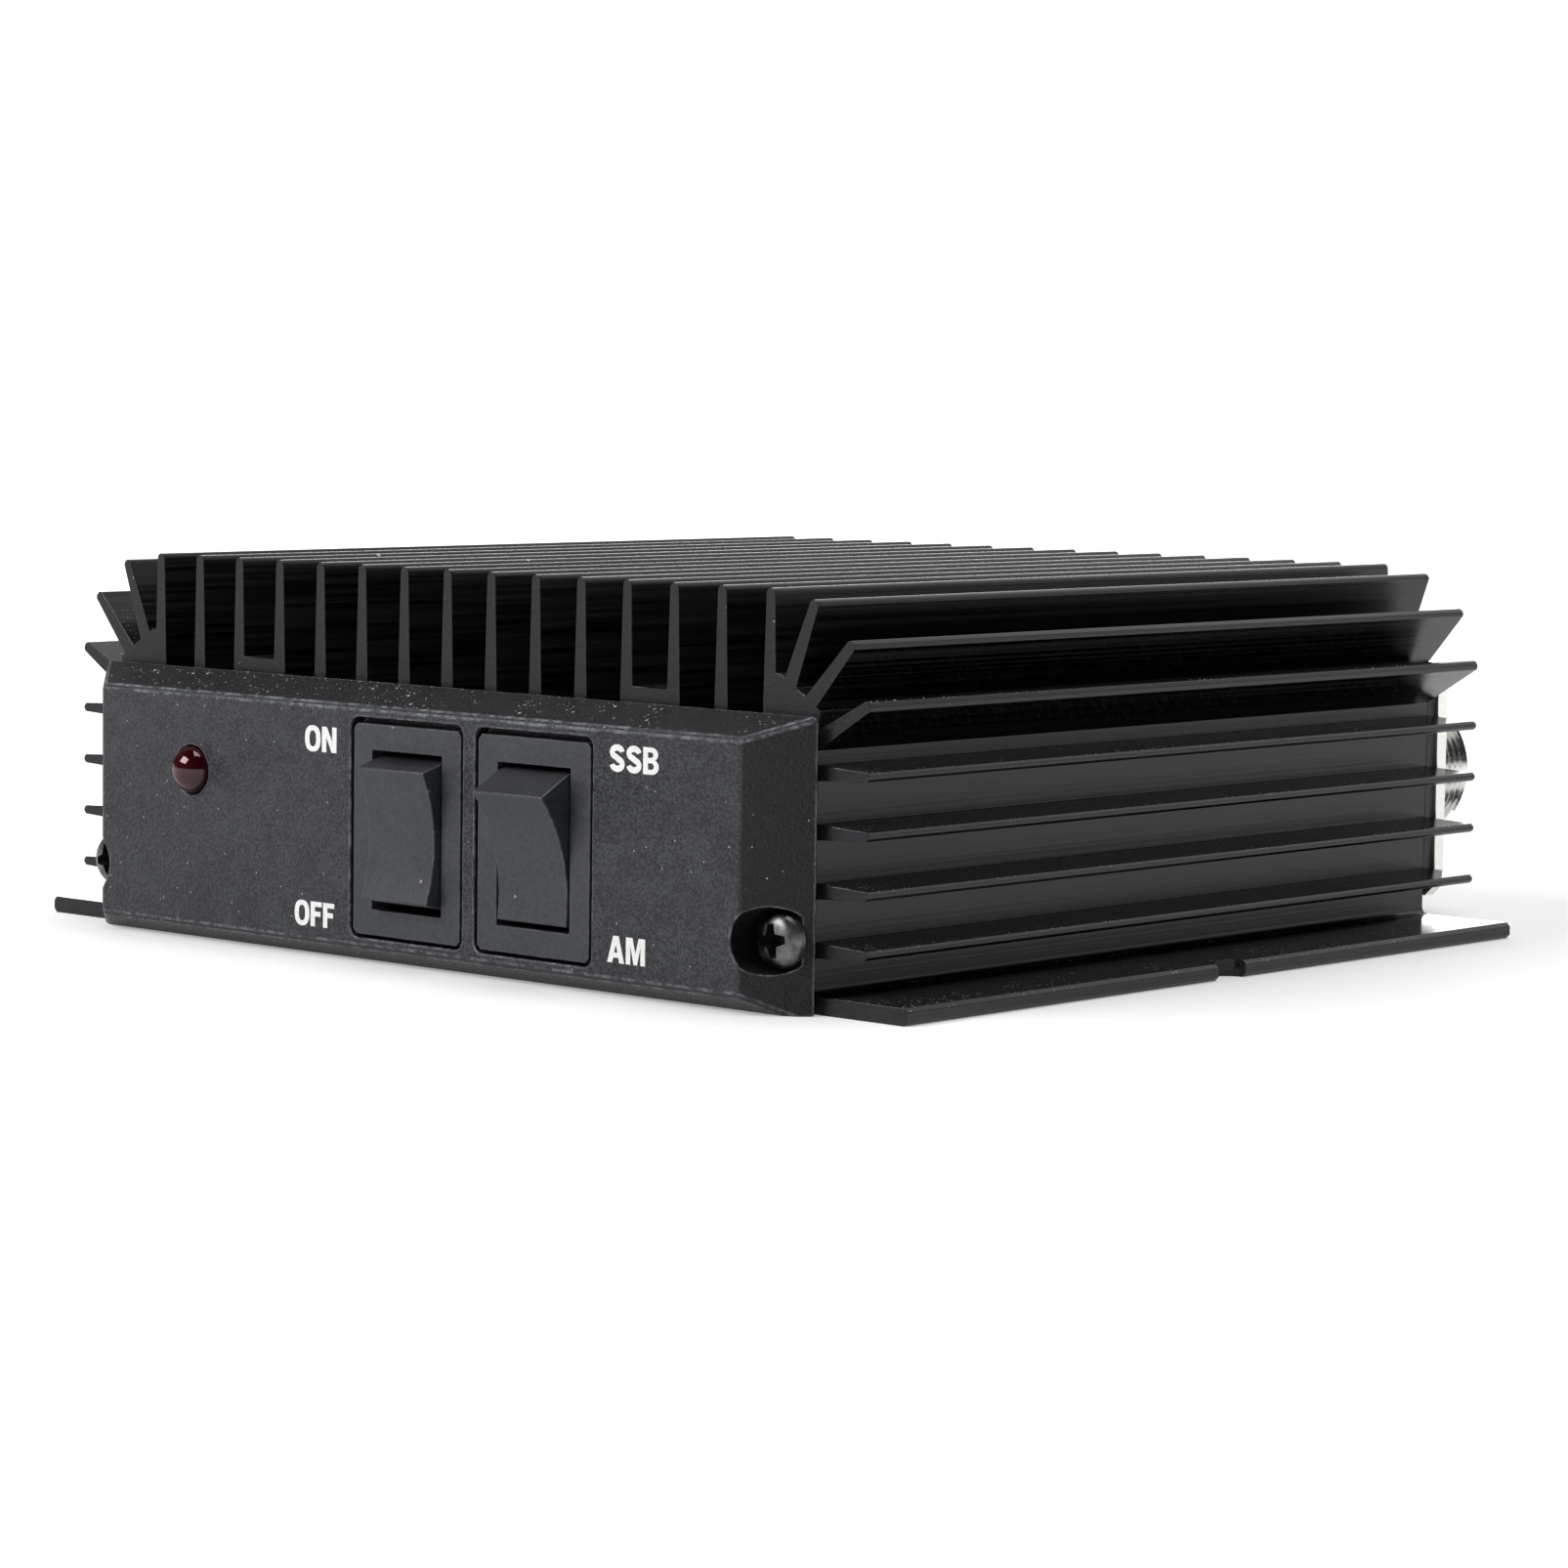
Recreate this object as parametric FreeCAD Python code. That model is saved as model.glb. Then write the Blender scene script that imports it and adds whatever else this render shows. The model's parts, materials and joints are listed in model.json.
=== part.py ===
import FreeCAD, Part
import math
import os
from FreeCAD import Vector

# HF linear amplifier: a finned aluminium extrusion closed by a moulded front cap, a rear panel and a
# sliding bottom cover.  Millimetres, +Z up, +X to the right seen from the front, +Y to the rear.
# The origin lies on the mounting plane, under the middle of the overall width and length.

# ------------------------------------------------------------------ driving dimensions
# heatsink extrusion
heatsink_length = 99.5
case_width = 98.0
wall = 2.0
ceiling_z = 24.2
roof_thickness = 2.8
fin_pitch = 6.13
fin_corner_margin = 5.8
fin_height = 12.3
fin_tip = 1.1
fin_root = 1.75
raised_floor = 2.15
side_fin_count = 4
side_fin_pitch = 5.49
lowest_side_fin_z = 5.98
side_fin_length = 6.3
side_fin_tip = 0.9
side_fin_root = 1.55
corner_fin_angles = (69.0, 48.3, 29.9)
corner_fin_lengths = (9.0, 8.7, 7.6)
corner_fin_insets = (3.8, 1.7, 0.4)
corner_fin_rises = (3.0, 1.2, -1.7)
corner_fin_tip = 1.1
corner_fin_root = 1.75
corner_vee_insets = (4.85, 2.05, -0.2)
corner_vee_rises = (4.4, 2.7, 1.2)
fin_tip_chamfer = 0.3

# mounting flanges
flange_width = 11.25
flange_thickness = 1.7
flange_fillet = 0.8
flange_edge_chamfer = 0.4
notch_radius = 2.2
notch_inset = 0.2

# bottom cover and the grooves that hold it
cover_thickness = 1.2
cover_lip = 1.0
groove_depth = 1.2
groove_clearance = 0.1

# screws that cut their own thread in the extrusion
thread_core = 1.15
screw_bite = 0.05
pan_head_radius = 2.75
pan_head_height = 1.9
screw_clearance = 0.25
slot_z = 7.0
slot_depth = 4.8
slot_rib = 1.3
slot_skin = 0.8
front_screw_inset = 2.0
front_screw_length = 9.0
rear_screw_length = 8.0

# front cap
cap_depth = 5.0
cap_seat = 1.15
cap_overhang = 1.1
cap_side_slope = 5.1
cap_top_slope = 2.1
cap_bottom_slope = 2.63
cap_top_rise = 0.8
cap_front_bottom_z = 1.68
cap_edge_chamfer = 0.35
cap_face_wall = 2.2
cap_rim_inset = 0.5
cap_rim_root = 0.5
cap_bottom_web = 0.6
cap_screw_web = 0.4
switch_block_margin = 2.2
counterbore_radius = 3.1
counterbore_depth = 4.1

# rocker switches, one pair of sizes for both
bezel_width = 15.1
bezel_height = 21.0
bezel_thickness = 1.7
bezel_corner = 0.5
pocket_corner = 1.05
bezel_recess = 0.1
pocket_gap_side = 0.35
pocket_gap_top = 0.6
pocket_gap_bottom = 0.35
pocket_floor = 2.0
cutout_clearance = 0.1
switch_body_width = 12.9
switch_body_height = 19.1
switch_body_depth = 14.6
switch_z = 13.55
power_switch_x = 0.7
mode_switch_x = 18.2
opening_width = 9.8
opening_height = 15.8
switch_base = 2.2
snap_rise = 0.6
snap_length = 4.0
snap_width = 5.0
snap_root = 0.5
snap_gap = 0.1
rocker_gap = 0.25
rocker_pivot_depth = 1.9
rocker_crest_reach = 3.9
rocker_crest_span = 13.1
rocker_dish = 1.4
rocker_end_flare = 13.4
rocker_back_depth = 2.9
rocker_edge_radius = 0.25
rocker_tilt_limit = 15.5
power_rest_tilt = 2.5
mode_rest_tilt = 15.5
trunnion_radius = 1.1
trunnion_length = 1.0
trunnion_clearance = 0.05
trunnion_end_gap = 0.15
post_reach = 7.1
post_width = 2.4
post_root = 3.0
post_nose = 0.8
contact_slope = 12.0
contact_span = 10.0
contact_width = 3.6
contact_thickness = 0.5
contact_gap = 0.2
cradle_gap = 0.15
cradle_width = 2.4
terminal_width = 4.8
terminal_thickness = 0.8
terminal_tail = 8.0
terminal_inset = 1.0
terminal_root = 0.3
terminal_clearance = 0.05

# parts hung under the board, each size as width, length and height
core_size = (16.0, 14.0, 8.0)
core_rear_margin = 14.5
strap_width = 2.2
strap_overhang = 1.0
relay_size = (10.0, 20.0, 10.5)
relay_x = 26.0
relay_rear_margin = 28.5
coil_size = (7.0, 7.0, 6.0)
coil_places_x = (14.0, 24.0, 34.0)
coil_rear_margin = 8.5
input_transformer_size = (10.0, 8.0, 6.4)
input_transformer_front_margin = 14.0
capacitor_size = (7.0, 18.0, 10.0)
capacitor_x = -30.0
capacitor_front_margin = 14.0
chip_capacitor_size = (3.2, 2.5, 1.6)
chip_capacitor_places_x = (-18.0, -12.0, -6.0, 6.0, 12.0, 18.0)
chip_capacitor_front_margin = 24.0
chip_resistor_size = (3.2, 1.6, 0.6)
chip_resistor_places_x = (-18.0, -12.0, 12.0, 18.0)
chip_resistor_front_margin = 30.0

# indicator lamp
led_x = -31.0
led_z = 17.7
led_radius = 2.5
led_clearance = 0.05
led_proud = 1.9
led_body_length = 8.6
led_lead_width = 0.5
led_lead_lap = 3.0

# rear panel, coaxial sockets and cable grommet
panel_thickness = 1.5
panel_bottom_z = 2.4
panel_top_rise = 0.8
panel_notch_width = 4.5
panel_notch_top_z = 6.0
socket_flange = 25.4
socket_flange_thickness = 1.7
socket_flange_corner = 1.2
socket_hole_spacing = 18.3
socket_side_inset = 12.265
socket_thread_radius = 7.94
socket_barrel_length = 12.15
socket_barrel_bore = 6.2
socket_recess = 1.2
socket_key_width = 2.2
socket_key_depth = 1.3
insulator_clearance = 0.05
contact_tail = 2.5
contact_air_gap = 2.1
contact_radius = 2.7
contact_bore = 2.0
contact_bore_depth = 12.0
tag_width = 2.4
tag_length = 8.0
tag_thickness = 0.6
grommet_radius = 6.5
grommet_neck_radius = 5.0
grommet_lip = 1.6
grommet_tail = 1.6
grommet_bore = 2.75
grommet_clearance = 0.05

# circuit board, carried by ledges of the extrusion under the ceiling
board_front_margin = 20.0
board_rear_margin = 9.0
board_thickness = 1.6
board_drop = 6.0
board_side_gap = 0.2
ledge_reach = 2.2
ledge_thickness = 1.0
ledge_clearance = 0.1

# power transistors clamped to the ceiling
transistor_x = 11.0
transistor_from_front = 57.0
tab_width = 10.2
tab_length = 15.4
tab_thickness = 1.3
epoxy_length = 9.2
epoxy_thickness = 3.2
pad_thickness = 0.3
pad_margin = 1.0
transistor_lead_pitch = 2.54
transistor_lead_width = 0.7
transistor_lead_thickness = 0.5
transistor_lead_run = 3.0
press_block_depth = 5.0

# ------------------------------------------------------------------ derived places
half_case = case_width / 2
fin_steps = int((half_case - fin_corner_margin) / fin_pitch)
last_fin_x = fin_steps * fin_pitch
roof_z = ceiling_z + roof_thickness
fin_top_z = roof_z + fin_height
inner_half = half_case - wall
rocker_swing = math.radians(rocker_tilt_limit)
front_reach = (cap_depth + cap_seat - rocker_pivot_depth + rocker_crest_reach * math.cos(rocker_swing)
               + rocker_crest_span / 2 * math.sin(rocker_swing))
rear_reach = panel_thickness + socket_flange_thickness + socket_barrel_length
middle_y = (front_reach - rear_reach) / 2
front_end = middle_y - heatsink_length / 2
rear_end = middle_y + heatsink_length / 2
rim_y = front_end - cap_seat
face_y = rim_y - cap_depth
panel_rear = rear_end + panel_thickness
flange_rear = panel_rear + socket_flange_thickness
barrel_end = flange_rear + socket_barrel_length
hole_offset = socket_hole_spacing / 2
socket_x = half_case - socket_side_inset
socket_z = slot_z + hole_offset
channel_x = socket_x - hole_offset
channel_z = socket_z + hole_offset
raised_gap_x = (int(channel_x / fin_pitch) + 0.5) * fin_pitch
front_screw_x = half_case - front_screw_inset
cover_z = cover_lip + groove_clearance
groove_top_z = cover_z + cover_thickness + groove_clearance
board_top = ceiling_z - board_drop
board_bottom = board_top - board_thickness
board_front = front_end + board_front_margin
board_rear = rear_end - board_rear_margin
board_half = inner_half - board_side_gap
transistor_y = front_end + transistor_from_front


# ------------------------------------------------------------------ shape helpers
def box(x0, x1, y0, y1, z0, z1):
    return Part.makeBox(x1 - x0, y1 - y0, z1 - z0, Vector(x0, y0, z0))


def rod_x(radius, y, z, x0, x1):
    return Part.makeCylinder(radius, x1 - x0, Vector(x0, y, z), Vector(1, 0, 0))


def rod_y(radius, x, z, y0, y1):
    return Part.makeCylinder(radius, y1 - y0, Vector(x, y0, z), Vector(0, 1, 0))


def rod_z(radius, x, y, z0, z1):
    return Part.makeCylinder(radius, z1 - z0, Vector(x, y, z0), Vector(0, 0, 1))


def polygon(points):
    return Part.Face(Part.makePolygon(points + points[:1]))


def prism_y(points, y0, y1):
    """Prism along Y from (x, z) points."""
    face = polygon([Vector(x, y0, z) for x, z in points])
    return face.extrude(Vector(0, y1 - y0, 0))


def plate_y(width, height, x, z, y0, y1):
    """Rectangle centred on (x, z), thick along Y, and its four corner edges."""
    plate = box(x - width / 2, x + width / 2, y0, y1, z - height / 2, z + height / 2)
    return plate, [e for e in plate.Edges if abs(e.tangentAt(e.FirstParameter).y) > 0.9]


def rounded_plate(width, height, radius, x, z, y0, y1):
    plate, corners = plate_y(width, height, x, z, y0, y1)
    return plate.makeFillet(radius, corners)


def clipped_plate(width, height, clip, x, z, y0, y1):
    plate, corners = plate_y(width, height, x, z, y0, y1)
    return plate.makeChamfer(clip, corners)


def fuse(shapes):
    return shapes[0].multiFuse(shapes[1:]).removeSplitter()


def group(solids):
    return Part.makeCompound(solids)


def mirror_x(shape):
    return shape.mirror(Vector(0, 0, 0), Vector(1, 0, 0))


def both_sides(shape):
    return [shape, mirror_x(shape)]


def write(name, shape):
    shape.exportStep(f"parts/{name}.step")


# ------------------------------------------------------------------ heatsink extrusion
def fin_face(root, tip, root_width, tip_width):
    """Tapered fin outline with a chamfered tip, from a root sunk in the body to the tip."""
    along = (tip - root).normalize()
    across = Vector(-along.z, 0, along.x)
    shoulder = tip - along * fin_tip_chamfer
    nose = tip_width / 2 - fin_tip_chamfer
    return polygon([root - across * (root_width / 2), shoulder - across * (tip_width / 2),
                    tip - across * nose, tip + across * nose,
                    shoulder + across * (tip_width / 2), root + across * (root_width / 2)])


def top_fins():
    faces = []
    for step in range(-fin_steps, fin_steps + 1):
        x = step * fin_pitch
        root = Vector(x, front_end, roof_z - fin_root / 2)
        faces.append(fin_face(root, Vector(x, front_end, fin_top_z), fin_root, fin_tip))
    return faces


def corner_vees():
    """Bottoms of the vees between the last top fin, the corner fins and the wall, right side."""
    return [(half_case - inset, roof_z + rise)
            for inset, rise in zip(corner_vee_insets, corner_vee_rises)]


def corner_fins():
    """Corner fins of the right side, fanned between the roof and the wall."""
    faces = []
    for inset, rise, angle, length in zip(corner_fin_insets, corner_fin_rises,
                                          corner_fin_angles, corner_fin_lengths):
        along = Vector(math.cos(math.radians(angle)), 0, math.sin(math.radians(angle)))
        root = Vector(half_case - inset, front_end, roof_z + rise)
        faces.append(fin_face(root - along * (wall / 2), root + along * length,
                              corner_fin_root, corner_fin_tip))
    return faces


def side_fins():
    """Level fins of the right wall."""
    faces = []
    for index in range(side_fin_count):
        z = lowest_side_fin_z + index * side_fin_pitch
        root = Vector(half_case - wall / 2, front_end, z)
        tip = Vector(half_case + side_fin_length, front_end, z)
        faces.append(fin_face(root, tip, side_fin_root, side_fin_tip))
    return faces


def body_face():
    """Closed case outline, roof and corner blocks included, down to the mounting plane."""
    vees = corner_vees()
    right = [(half_case, 0), (half_case, roof_z - wall)] + vees[::-1]
    right += [(last_fin_x, vees[0][1]), (last_fin_x, roof_z)]
    left = [(-x, z) for x, z in right[::-1]]
    return polygon([Vector(x, front_end, z) for x, z in right + left])


def flange_face():
    """Right mounting flange with its fillet to the wall."""
    outer = half_case + flange_width
    edge = flange_edge_chamfer
    points = [(inner_half, 0), (outer - edge, 0), (outer, edge), (outer, flange_thickness - edge),
              (outer - edge, flange_thickness), (half_case + flange_fillet, flange_thickness)]
    start = Vector(points[-1][0], front_end, points[-1][1])
    end = Vector(half_case, front_end, flange_thickness + flange_fillet)
    hollow = flange_fillet * (1 - math.sqrt(0.5))
    middle = Vector(half_case + hollow, front_end, flange_thickness + hollow)
    edges = [Part.makeLine(Vector(a[0], front_end, a[1]), Vector(b[0], front_end, b[1]))
             for a, b in zip(points[:-1], points[1:])]
    edges += [Part.Arc(start, middle, end).toShape(),
              Part.makeLine(end, Vector(inner_half, front_end, end.z)),
              Part.makeLine(Vector(inner_half, front_end, end.z), Vector(inner_half, front_end, 0))]
    return Part.Face(Part.Wire(edges))


def rectangle(x0, x1, z0, z1):
    return polygon([Vector(x0, front_end, z0), Vector(x1, front_end, z0),
                    Vector(x1, front_end, z1), Vector(x0, front_end, z1)])


def raised_floors():
    """Thicker roof over the two screw channels, between neighbouring fins."""
    return [rectangle(x - fin_pitch / 2, x + fin_pitch / 2, roof_z - wall, roof_z + raised_floor)
            for x in (-raised_gap_x, raised_gap_x)]


def interior_face():
    """Hollow of the case: main space less its ribs, cover grooves and the mouth under the lips."""
    lip_half = inner_half - groove_depth
    main = rectangle(-inner_half, inner_half, groove_top_z, ceiling_z)
    for rib in slot_ribs() + board_ledges():
        main = main.cut(rib)
    groove = rectangle(-inner_half - groove_depth, inner_half + groove_depth, cover_lip, groove_top_z)
    mouth = rectangle(-lip_half, lip_half, -1, cover_lip)
    return fuse([main, groove, mouth])


def slot_ribs():
    """Pair of ribs on each wall, with the screw slot between them."""
    gap = thread_core + screw_bite
    reach = inner_half - slot_depth + wall / 2
    ribs = []
    for side in (-1, 1):
        for z0 in (slot_z - gap - slot_rib, slot_z + gap):
            x0, x1 = sorted((side * reach, side * (inner_half + wall / 2)))
            ribs.append(rectangle(x0, x1, z0, z0 + slot_rib))
    return ribs


def disc(radius, x, z):
    circle = Part.makeCircle(radius, Vector(x, front_end, z), Vector(0, 1, 0))
    return Part.Face(Part.Wire(circle))


def screw_channels():
    """Open screw channels: two slots in the walls and four keyholes in the ceiling."""
    gap = thread_core + screw_bite
    slot_end = half_case - slot_skin
    channels = []
    for side in (-1, 1):
        x0, x1 = sorted((side * (inner_half - wall / 2), side * slot_end))
        channels.append(rectangle(x0, x1, slot_z - gap, slot_z + gap))
        for x in (side * channel_x, side * (socket_x + hole_offset)):
            channels.append(disc(gap, x, channel_z))
            channels.append(rectangle(x - gap / 2, x + gap / 2, ceiling_z - wall, channel_z))
    return channels


def right_faces():
    return corner_fins() + side_fins() + [flange_face()]


def heatsink_section():
    solid_parts = [body_face()] + top_fins() + raised_floors() + right_faces()
    solid_parts += [mirror_x(face) for face in right_faces()]
    outline = fuse(solid_parts)
    outline = outline.cut(interior_face())
    for channel in screw_channels():
        outline = outline.cut(channel)
    return outline.removeSplitter()


def mounting_notches():
    """Half-round notches in the outer edge of each flange, at mid length."""
    outer = half_case + flange_width
    centre_x = outer - notch_inset
    top = flange_thickness + 1
    notch = fuse([rod_z(notch_radius, centre_x, middle_y, -1, top),
                  box(centre_x, outer + 1, middle_y - notch_radius, middle_y + notch_radius, -1, top)])
    return both_sides(notch)


def board_ledges():
    """Pairs of ribs along both walls that carry the edges of the circuit board."""
    ledges = []
    for side in (-1, 1):
        x0, x1 = sorted((side * (inner_half - ledge_reach), side * (inner_half + wall / 2)))
        ledges.append(rectangle(x0, x1, board_bottom - ledge_thickness, board_bottom))
        ledges.append(rectangle(x0, x1, board_top + ledge_clearance,
                                board_top + ledge_clearance + ledge_thickness))
    return ledges


def heatsink_housing():
    blank = heatsink_section().extrude(Vector(0, heatsink_length, 0))
    for tool in mounting_notches():
        blank = blank.cut(tool)
    return blank


# ------------------------------------------------------------------ bottom cover
def bottom_cover():
    half = inner_half + groove_depth - 2 * groove_clearance
    margin = 2 * groove_clearance
    return box(-half, half, front_end + margin, rear_end - margin, cover_z, cover_z + cover_thickness)


# ------------------------------------------------------------------ front cap
def cap_shell():
    """Sloped block of the cap, its front edges broken, flat on the mounting plane."""
    back_half = half_case + cap_overhang
    front_half = back_half - cap_side_slope
    top_z = roof_z + cap_top_rise
    block = Part.makeWedge(-front_half, face_y, cap_front_bottom_z, cap_front_bottom_z - cap_bottom_slope,
                           -back_half, front_half, rim_y, top_z - cap_top_slope, top_z, back_half)
    edges = [e for e in block.Edges if e.BoundBox.YMin < face_y + 0.1]
    block = block.makeChamfer(cap_edge_chamfer, edges)
    below = box(-half_case * 2, half_case * 2, face_y - 1, rim_y + 1, -10, 0)
    return block.cut(below)


def cap_rim():
    """Inset rim that seats on the end of the extrusion."""
    half = half_case - cap_rim_inset
    return box(-half, half, rim_y - cap_rim_root, front_end, cap_rim_inset, roof_z - cap_rim_inset)


def cap_hollows():
    """Cored-out back of the cap, kept thicker round the switches."""
    inner = front_screw_x - counterbore_radius - cap_screw_web
    low = groove_top_z + cap_bottom_web
    block_back = face_y + bezel_recess + bezel_thickness + pocket_floor
    left = power_switch_x - bezel_width / 2 - switch_block_margin
    right = mode_switch_x + bezel_width / 2 + switch_block_margin
    shallow = box(-inner, inner, block_back, front_end + 1, low, ceiling_z)
    deep = [box(-inner, left, face_y + cap_face_wall, front_end + 1, low, ceiling_z),
            box(right, inner, face_y + cap_face_wall, front_end + 1, low, ceiling_z)]
    return [shallow] + deep


def switch_pockets(x):
    """Recess for a switch bezel and the cut-out for its body."""
    width = bezel_width + 2 * pocket_gap_side
    height = bezel_height + pocket_gap_top + pocket_gap_bottom
    z = switch_z + (pocket_gap_top - pocket_gap_bottom) / 2
    floor = face_y + bezel_recess + bezel_thickness
    recess = rounded_plate(width, height, pocket_corner, x, z, face_y - 1, floor)
    half_w = switch_body_width / 2 + cutout_clearance
    half_h = switch_body_height / 2 + cutout_clearance
    body = box(x - half_w, x + half_w, face_y, front_end, switch_z - half_h, switch_z + half_h)
    return [recess, body]


def cap_screw_bores():
    head = rod_y(counterbore_radius, front_screw_x, slot_z, face_y - 1, face_y + counterbore_depth)
    shank = rod_y(thread_core + screw_clearance, front_screw_x, slot_z, face_y, front_end + 1)
    return both_sides(head) + both_sides(shank)


def front_cap():
    cap = fuse([cap_shell(), cap_rim()])
    tools = cap_hollows() + switch_pockets(power_switch_x) + switch_pockets(mode_switch_x)
    tools += cap_screw_bores()
    tools.append(rod_y(led_radius + led_clearance, led_x, led_z, face_y - 1, front_end))
    for tool in tools:
        cap = cap.cut(tool)
    return cap


# ------------------------------------------------------------------ screws
def pan_screw(x, z, seat_y, length, direction):
    """Pan-head screw whose head seats on seat_y; direction +1 drives it towards +Y."""
    end = seat_y + direction * length
    crown = seat_y - direction * pan_head_height
    shank = rod_y(thread_core, x, z, min(seat_y, end), max(seat_y, end))
    head = rod_y(pan_head_radius, x, z, min(seat_y, crown), max(seat_y, crown))
    return fuse([head, shank])


def front_cap_screws():
    seat = face_y + counterbore_depth
    return group([pan_screw(x, slot_z, seat, front_screw_length, 1)
                  for x in (-front_screw_x, front_screw_x)])


def socket_hole_places():
    return [(side * socket_x + dx, socket_z + dz) for side in (-1, 1)
            for dx in (-hole_offset, hole_offset) for dz in (-hole_offset, hole_offset)]


def socket_screw_places():
    """Upper inner and lower outer holes, the two of each socket that meet the extrusion."""
    return [(side * (socket_x + step * hole_offset), socket_z - step * hole_offset)
            for side in (-1, 1) for step in (-1, 1)]


def socket_screws():
    return group([pan_screw(x, z, flange_rear, rear_screw_length, -1)
                  for x, z in socket_screw_places()])


# ------------------------------------------------------------------ rear panel
def rear_panel():
    top_z = roof_z + panel_top_rise
    step = half_case - panel_notch_width
    outline = [(step, panel_bottom_z), (step, panel_notch_top_z), (half_case, panel_notch_top_z),
               (half_case, top_z), (-half_case, top_z), (-half_case, panel_notch_top_z),
               (-step, panel_notch_top_z), (-step, panel_bottom_z)]
    panel = prism_y(outline, rear_end, panel_rear)
    tools = [rod_y(contact_radius + contact_air_gap, x, socket_z, rear_end - 1, panel_rear + 1)
             for x in (-socket_x, socket_x)]
    tools += [rod_y(thread_core + screw_clearance, x, z, rear_end - 1, panel_rear + 1)
              for x, z in socket_screw_places()]
    tools.append(rod_y(grommet_neck_radius + grommet_clearance, 0, socket_z, rear_end - 1, panel_rear + 1))
    for tool in tools:
        panel = panel.cut(tool)
    return panel


def cable_grommet():
    """Push-in rubber bush for the supply lead: a lip outside and a neck through the panel."""
    lip = rod_y(grommet_radius, 0, socket_z, panel_rear, panel_rear + grommet_lip)
    inner = rear_end - grommet_tail
    bush = fuse([lip, rod_y(grommet_neck_radius, 0, socket_z, inner, panel_rear)])
    return bush.cut(rod_y(grommet_bore, 0, socket_z, inner - 1, panel_rear + grommet_lip + 1))


# ------------------------------------------------------------------ coaxial sockets
def socket_shell(x):
    """Flanged shell: square flange with four holes and a threaded barrel with a keyed rim."""
    flange = clipped_plate(socket_flange, socket_flange, socket_flange_corner, x, socket_z,
                           panel_rear, flange_rear)
    shell = fuse([flange, rod_y(socket_thread_radius, x, socket_z, flange_rear, barrel_end)])
    shell = shell.cut(rod_y(socket_barrel_bore, x, socket_z, panel_rear - 1, barrel_end + 1))
    for hole_x, hole_z in socket_hole_places():
        if abs(hole_x - x) < socket_flange / 2:
            shell = shell.cut(rod_y(thread_core + screw_clearance, hole_x, hole_z,
                                    panel_rear - 1, flange_rear + 1))
    half, y0 = socket_key_width / 2, barrel_end - socket_key_depth
    reach = socket_thread_radius + 1
    shell = shell.cut(box(x - half, x + half, y0, barrel_end + 1, socket_z - reach, socket_z + reach))
    return shell.cut(box(x - reach, x + reach, y0, barrel_end + 1, socket_z - half, socket_z + half))


def socket_insulator(x):
    """Insulating tube that fills the barrel round the contact."""
    tube = rod_y(socket_barrel_bore - insulator_clearance, x, socket_z,
                 panel_rear, barrel_end - socket_recess)
    return tube.cut(rod_y(contact_radius + insulator_clearance, x, socket_z, panel_rear - 1, barrel_end))


def socket_contact(x):
    """Tubular centre contact with a flat solder tag behind the insulator."""
    tip = barrel_end - socket_recess
    back = rear_end - contact_tail
    pin = rod_y(contact_radius, x, socket_z, back, tip)
    tag = box(x - tag_width / 2, x + tag_width / 2, back - tag_length, back,
              board_bottom - tag_thickness, board_bottom)
    return fuse([pin, tag]).cut(rod_y(contact_bore, x, socket_z, tip - contact_bore_depth, tip + 1))


# ------------------------------------------------------------------ rocker switches
def switch_frame(x):
    """Bezel and body of a rocker switch, open at the front, with snap wedges above and below."""
    front = face_y + bezel_recess
    back = face_y + switch_body_depth
    seat = front + bezel_thickness
    bezel = clipped_plate(bezel_width, bezel_height, bezel_corner, x, switch_z, front, seat)
    half_w, half_h = switch_body_width / 2, switch_body_height / 2
    body = box(x - half_w, x + half_w, seat, back, switch_z - half_h, switch_z + half_h)
    frame = fuse([bezel, body] + snap_wedges(x, seat + pocket_floor))
    half_o = opening_width / 2
    mouth = box(x - half_o, x + half_o, front - 1, back - switch_base,
                switch_z - opening_height / 2, switch_z + opening_height / 2)
    frame = frame.cut(mouth).cut(trunnion_slot(x))
    for z in terminal_levels():
        frame = frame.cut(terminal_blade(x, z, terminal_clearance))
    return frame


def trunnion_slot(x):
    """Square slot through both side walls for the pivot pins of the rocker."""
    half_x = opening_width / 2 - rocker_gap + trunnion_length + trunnion_end_gap
    half = trunnion_radius + trunnion_clearance
    y = face_y + rocker_pivot_depth
    return box(x - half_x, x + half_x, y - half, y + half, switch_z - half, switch_z + half)


def snap_wedges(x, grip_y):
    """Wedges that catch behind the pocket floor."""
    front, back = grip_y + snap_gap, grip_y + snap_length
    wedges = []
    for side in (-1, 1):
        side_z = switch_z + side * switch_body_height / 2
        root_z = side_z - side * snap_root
        points = [(front, root_z), (front, side_z + side * snap_rise), (back, side_z), (back, root_z)]
        face = polygon([Vector(x - snap_width / 2, y, z) for y, z in points])
        wedges.append(face.extrude(Vector(snap_width, 0, 0)))
    return wedges


def terminal_levels():
    step = contact_span / 2 - terminal_inset
    return [switch_z - step, switch_z, switch_z + step]


def terminal_blade(x, z, margin):
    """Flat tab through the base of a switch."""
    half_w, half_t = terminal_width / 2 + margin, terminal_thickness / 2 + margin
    y0 = face_y + switch_body_depth - switch_base - terminal_root
    return box(x - half_w, x + half_w, y0, face_y + switch_body_depth + terminal_tail + margin,
               z - half_t, z + half_t)


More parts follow.
